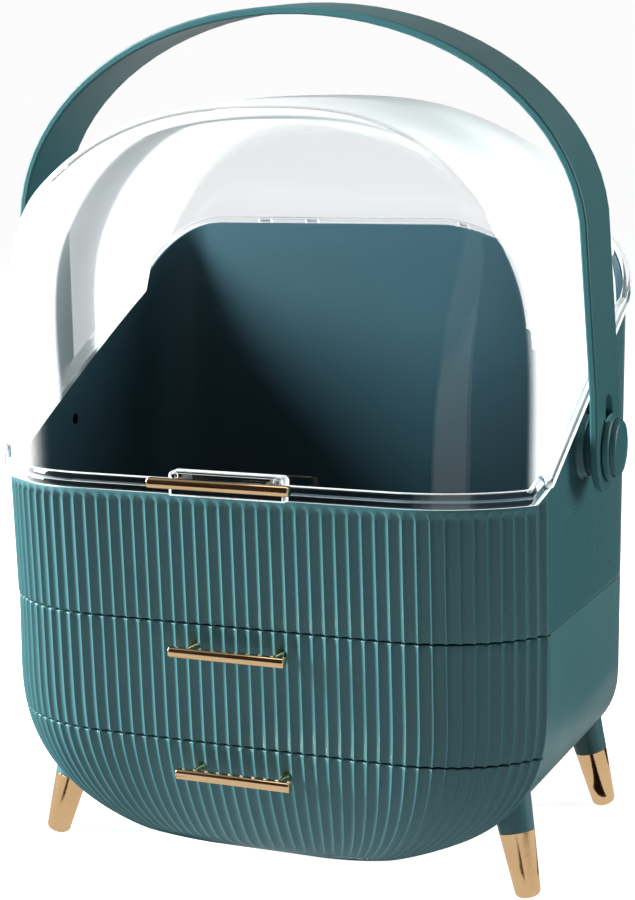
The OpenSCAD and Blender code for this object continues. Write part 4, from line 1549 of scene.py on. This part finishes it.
@dataclass
class CarryHandle:
    """The strap handle with its sliding hubs, discs and caps."""

    plan: CasePlan
    palette: Palette
    disc_x: float = 152.9
    disc_radius: float = 16.0
    disc_thickness: float = 3.2
    cap_radius: float = 13.6
    cap_height: float = 3.4
    cap_sunk: float = 0.3
    turns: int = 96

    def _turned_part(self, name: str, profile: Profile, side: int, x: float) -> bpy.types.Object:
        """Builds a turned part about a pivot, its axis pointing away from the case.

        Args:
            name: The piece's name.
            profile: Pairs of radius and height.
            side: -1 on the left, 1 on the right.
            x: How far from the middle it starts.

        Returns:
            The part.
        """
        draft = MeshDraft()
        at = turned((side * x, self.plan.pivot_y, self.plan.pivot_z), side * math.pi / 2, "Y")
        draft.lathe(profile, at, self.turns)
        return draft.build(name, self.palette.strap, 40.0)

    def build(self) -> None:
        """Builds and dresses the handle's pieces."""
        strap = softened_copy("handle_strap", "strap_handle", self.palette.strap, 0.9, 3, 40.0)
        hand_over(strap, Body.HANDLE, Slot.TEAL, "handle_strap")
        r, t = self.disc_radius, self.disc_thickness
        c, h = self.cap_radius, self.cap_height
        ring = [(0.0, 0.0), (r - 0.5, 0.0), (r, 0.5), (r, t - 1.1), (r - 0.35, t - 0.4), (r - 1.1, t),
                (c + 0.5, t), (c + 0.3, t - 0.5), (c - 0.2, t - 0.5), (0.0, t - 0.5)]
        dish = [(0.0, 0.0), (c, 0.0), (c, h * 0.5), (c - 0.25, h * 0.72), (c - 0.9, h * 0.9),
                (c - 1.8, h * 0.97), (c - 2.6, h * 0.9), (c - 3.3, h * 0.82), (c * 0.5, h * 0.86),
                (0.0, h * 0.9)]
        for side, name in ((-1, "left"), (1, "right")):
            disc = self._turned_part(f"pivot_ring_{name}", ring, side, self.disc_x)
            hand_over(disc, Body.HUBS, Slot.TEAL_INNER, f"pivot_disc_{name}")
            cap = self._turned_part(f"pivot_button_{name}", dish, side, self.disc_x + t - self.cap_sunk)
            hand_over(cap, Body.HUBS, Slot.TEAL, f"pivot_cap_{name}")
            # The sliders take the darker copy of the teal that paints the shade inside the case.
            hub = softened_copy(f"pivot_hub_{name}", f"pivot_slider_{name}", self.palette.inner, 0.4)
            hand_over(hub, Body.HUBS, Slot.TEAL_INNER, f"pivot_hub_{name}")


@dataclass
class SplayedLegs:
    """The four splayed legs with their gold ferrules."""

    palette: Palette
    foot_x: float = 128.5
    front_y: float = 57.0
    back_y: float = 206.0
    splay: float = 13.5
    lean: float = 6.5
    leg_radius: float = 8.6
    foot_radius: float = 6.3
    foot_round: float = 3.6
    ferrule_top: float = 31.0
    ferrule_lip: float = 0.25
    foot_flat: float = 0.6

    def _ferrule(self, name: str, side: int, back: bool) -> bpy.types.Object:
        """Builds one ferrule.

        Args:
            name: The piece's name.
            side: -1 on the left, 1 on the right.
            back: Whether it stands under the back.

        Returns:
            The ferrule.
        """
        splay, lean = math.radians(self.splay), math.radians(self.lean if back else -self.lean)
        tilt = math.acos(math.cos(splay) * math.cos(lean))
        fr, ro, lip = self.foot_radius, self.foot_round, self.ferrule_lip
        sink = ro * math.cos(tilt) - (fr - ro) * math.sin(tilt) - ro
        length = self.ferrule_top / math.cos(splay)
        foot = (self.foot_x, self.back_y if back else self.front_y, -sink - self.foot_flat)
        at = Matrix.Diagonal((side, 1, 1, 1)) @ turned(foot, -splay, "Y") @ Matrix.Rotation(lean, 4, "X")
        profile = [(0.0, 0.0)] + [(fr - inward, up) for inward, up in rounding(ro, 9)]
        profile += [(fr + (self.leg_radius - fr) * k, ro + (length - lip - ro) * k)
                    for k in np.linspace(0, 1, 9)[1:]]
        profile += [(self.leg_radius - lip, length), (0.0, length)]
        draft = MeshDraft()
        draft.lathe(profile, at, 72)
        block = draft.points[0]
        block[:, 2] = np.maximum(block[:, 2], 0.0)
        return draft.build(name, self.palette.tip, 40.0)

    def build(self) -> None:
        """Builds and dresses the legs' pieces."""
        for back, row in ((False, "front"), (True, "back")):
            for side, name in ((-1, "left"), (1, "right")):
                tip = self._ferrule(f"gold_tip_{row}_{name}", side, back)
                hand_over(tip, Body.CASE, Slot.GOLD, f"ferrule_{row}_{name}")
                leg = softened_copy(f"leg_{row}_{name}", f"teal_leg_{row}_{name}", self.palette.teal, 0.25,
                                    2, 50.0)
                hand_over(leg, Body.CASE, Slot.TEAL, f"leg_{row}_{name}")


class Fasteners:
    """Screws, studs and pins, which keep their CAD shapes and get a bright finish."""

    NODES = ("upper_tray_screws", "lower_tray_screws", "lid_pull_screws", "upper_pull_screws",
             "lower_pull_screws", "hinge_pins", "pivot_pin_left", "pivot_pin_right", "leg_studs",
             "case_screws")

    def __init__(self, palette: Palette) -> None:
        """Takes the finishes."""
        self.palette = palette

    def build(self) -> None:
        """Dresses the fasteners."""
        for node in self.NODES:
            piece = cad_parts[node]
            piece.data.materials.clear()
            piece.data.materials.append(self.palette.steel)
            LOG.info("%s keeps its CAD shape", node)


# ---------------------------------------------------------------- studio


@dataclass(frozen=True)
class SoftBox:
    """One soft rectangular lamp: its name, its place and size in metres, its power in watts."""

    name: str
    at: tuple[float, float, float]
    size: tuple[float, float]
    power: float


@dataclass(frozen=True)
class Card:
    """One dark card: its name, its lower corners' X and Y and the way up it, in millimetres."""

    name: str
    corner: tuple[float, float]
    end: tuple[float, float]
    rise: tuple[float, float, float]


@dataclass
class Studio:
    """A plain pale floor, soft light and the camera."""

    LAMPS = (
        SoftBox("left_softbox", (-2.1, -0.74, 0.95), (0.55, 1.6), 300.0),
        SoftBox("back_right_softbox", (1.95, 0.95, 0.9), (1.0, 1.4), 52.0),
        SoftBox("top_softbox", (0.0, -0.4, 2.2), (1.4, 1.4), 9.0),
    )
    CARDS = (
        Card("front_card", (-1300.0, -560.0), (150.0, -560.0), (0.0, 0.0, 760.0)),
        Card("right_card", (620.0, -620.0), (760.0, 260.0), (0.0, 0.0, 520.0)),
        Card("rear_card", (152.0, 290.0), (560.0, 340.0), (0.0, 0.0, 420.0)),
        Card("left_foot_card", (-140.0, 5.0), (-116.0, 8.0), (30.0, -100.0, 0.0)),
        Card("right_foot_card", (116.0, 5.0), (140.0, 8.0), (30.0, -100.0, 0.0)),
        Card("rear_foot_card", (116.0, 192.0), (140.0, 195.0), (30.0, -100.0, 0.0)),
    )

    camera_at: tuple[float, float, float] = (0.3736, -0.91135, 0.3488)
    azimuth: float = 22.20
    pitch: float = 8.41
    roll: float = -0.18
    lens: float = 78.3
    sky: float = 0.09
    gloss: float = 0.33
    backdrop: float = 0.97
    floor_glow: float = 0.91
    floor_gloss: float = 0.72
    floor_half: float = 9000.0
    aim: tuple[float, float, float] = (0.0, 0.0, 0.2)
    card_height: float = 2.0
    card_colour: Colour = (0.02, 0.012, 0.008)
    white: Colour = (1.0, 1.0, 1.0)
    black: Colour = (0.0, 0.0, 0.0)

    def camera(self) -> None:
        """Makes the camera."""
        data = bpy.data.cameras.new("main_camera")
        data.lens, data.sensor_width, data.sensor_fit = self.lens, 36.0, "AUTO"
        data.clip_start, data.clip_end = 0.05, 30.0
        made = bpy.data.objects.new("main_camera", data)
        bpy.context.scene.collection.objects.link(made)
        a, e = math.radians(self.azimuth), math.radians(self.pitch)
        back = Vector((math.sin(a) * math.cos(e), -math.cos(a) * math.cos(e), math.sin(e)))
        turn = (-back).to_track_quat("-Z", "Y").to_matrix().to_4x4()
        made.matrix_world = Matrix.Translation(self.camera_at) @ turn @ \
            Matrix.Rotation(math.radians(self.roll), 4, "Z")
        bpy.context.scene.camera = made

    def lamp(self, box: SoftBox) -> None:
        """Makes one soft rectangular lamp.

        Args:
            box: The lamp.
        """
        data = bpy.data.lights.new(box.name, "AREA")
        data.shape, data.size, data.size_y = "RECTANGLE", *box.size
        data.energy, data.color = box.power, self.white
        made = bpy.data.objects.new(box.name, data)
        bpy.context.scene.collection.objects.link(made)
        made.location = box.at
        made.rotation_mode = "QUATERNION"
        made.rotation_quaternion = (Vector(self.aim) - Vector(box.at)).to_track_quat("-Z", "Y")

    def sight(self, desk: NodeDesk, gloss: float) -> tuple[bpy.types.NodeSocket, bpy.types.NodeSocket]:
        """Tells what is looked at from what is only lit.

        Args:
            desk: The desk of the tree that asks.
            gloss: How bright the surround is to gloss, against 1 for the eye.

        Returns:
            Whether the eye, gloss or glass looks, and how bright the surround is to it.
        """
        path = desk.add("ShaderNodeLightPath").outputs
        clear = desk.maths("MAXIMUM", path["Is Camera Ray"], path["Is Transmission Ray"])
        dim = desk.maths("MULTIPLY", path["Is Glossy Ray"], gloss)
        seen = desk.maths("MAXIMUM", clear, path["Is Glossy Ray"])
        return seen, desk.maths("MAXIMUM", clear, dim)

    def world(self) -> None:
        """Makes a white surround for the eye and glass, a dimmer one for gloss and a grey one for light."""
        world = bpy.data.worlds.new("studio")
        bpy.context.scene.world = world
        world.use_nodes = True
        world.node_tree.nodes.clear()
        desk = NodeDesk(world.node_tree)
        lit, white = desk.add("ShaderNodeBackground"), desk.add("ShaderNodeBackground")
        seen, glow = self.sight(desk, self.gloss)
        desk.feed(lit, Color=(0.97, 0.985, 1.0), Strength=self.sky)
        desk.feed(white, Color=self.white, Strength=desk.maths("MULTIPLY", glow, self.backdrop))
        out = desk.add("ShaderNodeOutputWorld")
        desk.feed(out, Surface=desk.mix(seen, lit.outputs[0], white.outputs[0]))

    def floor(self) -> None:
        """Makes the pale floor, which keeps the object's shadow."""
        draft = MeshDraft()
        edge = np.linspace(-self.floor_half, self.floor_half, 13)
        gx, gy = np.meshgrid(edge, edge)
        draft.grid(np.stack([gx, gy, np.zeros_like(gx)], -1))
        made, desk, shader, _ = new_material("pale_floor")
        tone = desk.ramp(desk.noise(desk.place(), 3.0, 4.0), 0.3, 0.7)
        base = desk.blend(tone, (0.60, 0.60, 0.60), (0.58, 0.58, 0.585))
        base = desk.blend(desk.add("ShaderNodeLightPath").outputs["Is Glossy Ray"], base, self.black)
        glow = desk.maths("MULTIPLY", self.sight(desk, self.floor_gloss)[1], self.floor_glow)
        desk.feed(shader, Base_Color=base, Roughness=0.9, Specular_IOR_Level=0.0,
                  Emission_Color=self.white, Emission_Strength=glow)
        draft.build("floor", made)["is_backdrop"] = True

    def card(self, card: Card) -> None:
        """Makes a dark card that is seen only in gloss and polished metal.

        Args:
            card: The card.
        """
        draft = MeshDraft()
        along, up = np.meshgrid(np.linspace(0, 1, 5), np.linspace(0, 1, 5))
        low = [start + along * (stop - start) for start, stop in zip(card.corner, card.end)]
        low.append(self.card_height)
        draft.grid(np.stack([foot + up * rise for foot, rise in zip(low, card.rise)], -1))
        made, desk, shader, _ = new_material(card.name)
        desk.feed(shader, Base_Color=self.card_colour, Roughness=1.0, Specular_IOR_Level=0.0)
        piece = draft.build(card.name, made)
        piece.visible_camera = piece.visible_diffuse = piece.visible_shadow = False
        piece.visible_transmission = False
        piece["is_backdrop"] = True

    def build(self) -> None:
        """Sets the stage."""
        bpy.context.scene.view_settings.view_transform = "Standard"
        self.camera()
        self.world()
        self.floor()
        for card in self.CARDS:
            self.card(card)
        for box in self.LAMPS:
            self.lamp(box)


def main() -> None:
    """Builds every sub-assembly in order and reports it."""
    logging.basicConfig(level=logging.INFO, format="%(name)s: %(message)s")
    cad_box = tuple(c.copy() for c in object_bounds())
    plan, palette = CasePlan(), Palette()
    Studio().build()
    seam = plan.seam_gap / 2
    parts = (
        CaseShells(plan, palette),
        DrawerUnit(plan, palette, "upper_drawer", Body.UPPER_DRAWER, plan.lower_seam + seam,
                   plan.upper_seam - seam, plan.lower_seam + seam + plan.wall, 121.0, 20, tongue_z=77.6),
        DrawerUnit(plan, palette, "lower_drawer", Body.LOWER_DRAWER, plan.bottom,
                   plan.lower_seam - seam, plan.bottom + plan.wall, 60.0, 34, tongue_z=17.9),
        ClearLid(plan, palette),
        CarryHandle(plan, palette),
        SplayedLegs(palette),
        Fasteners(palette),
    )
    for part in parts:
        LOG.info("building %s", type(part).__name__)
        part.build()


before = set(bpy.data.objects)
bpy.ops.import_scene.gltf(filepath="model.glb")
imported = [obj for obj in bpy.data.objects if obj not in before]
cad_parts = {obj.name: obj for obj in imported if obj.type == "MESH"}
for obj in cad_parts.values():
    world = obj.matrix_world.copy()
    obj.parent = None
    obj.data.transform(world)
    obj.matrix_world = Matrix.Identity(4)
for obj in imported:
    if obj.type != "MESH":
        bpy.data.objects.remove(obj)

if __name__ == "__main__":
    main()
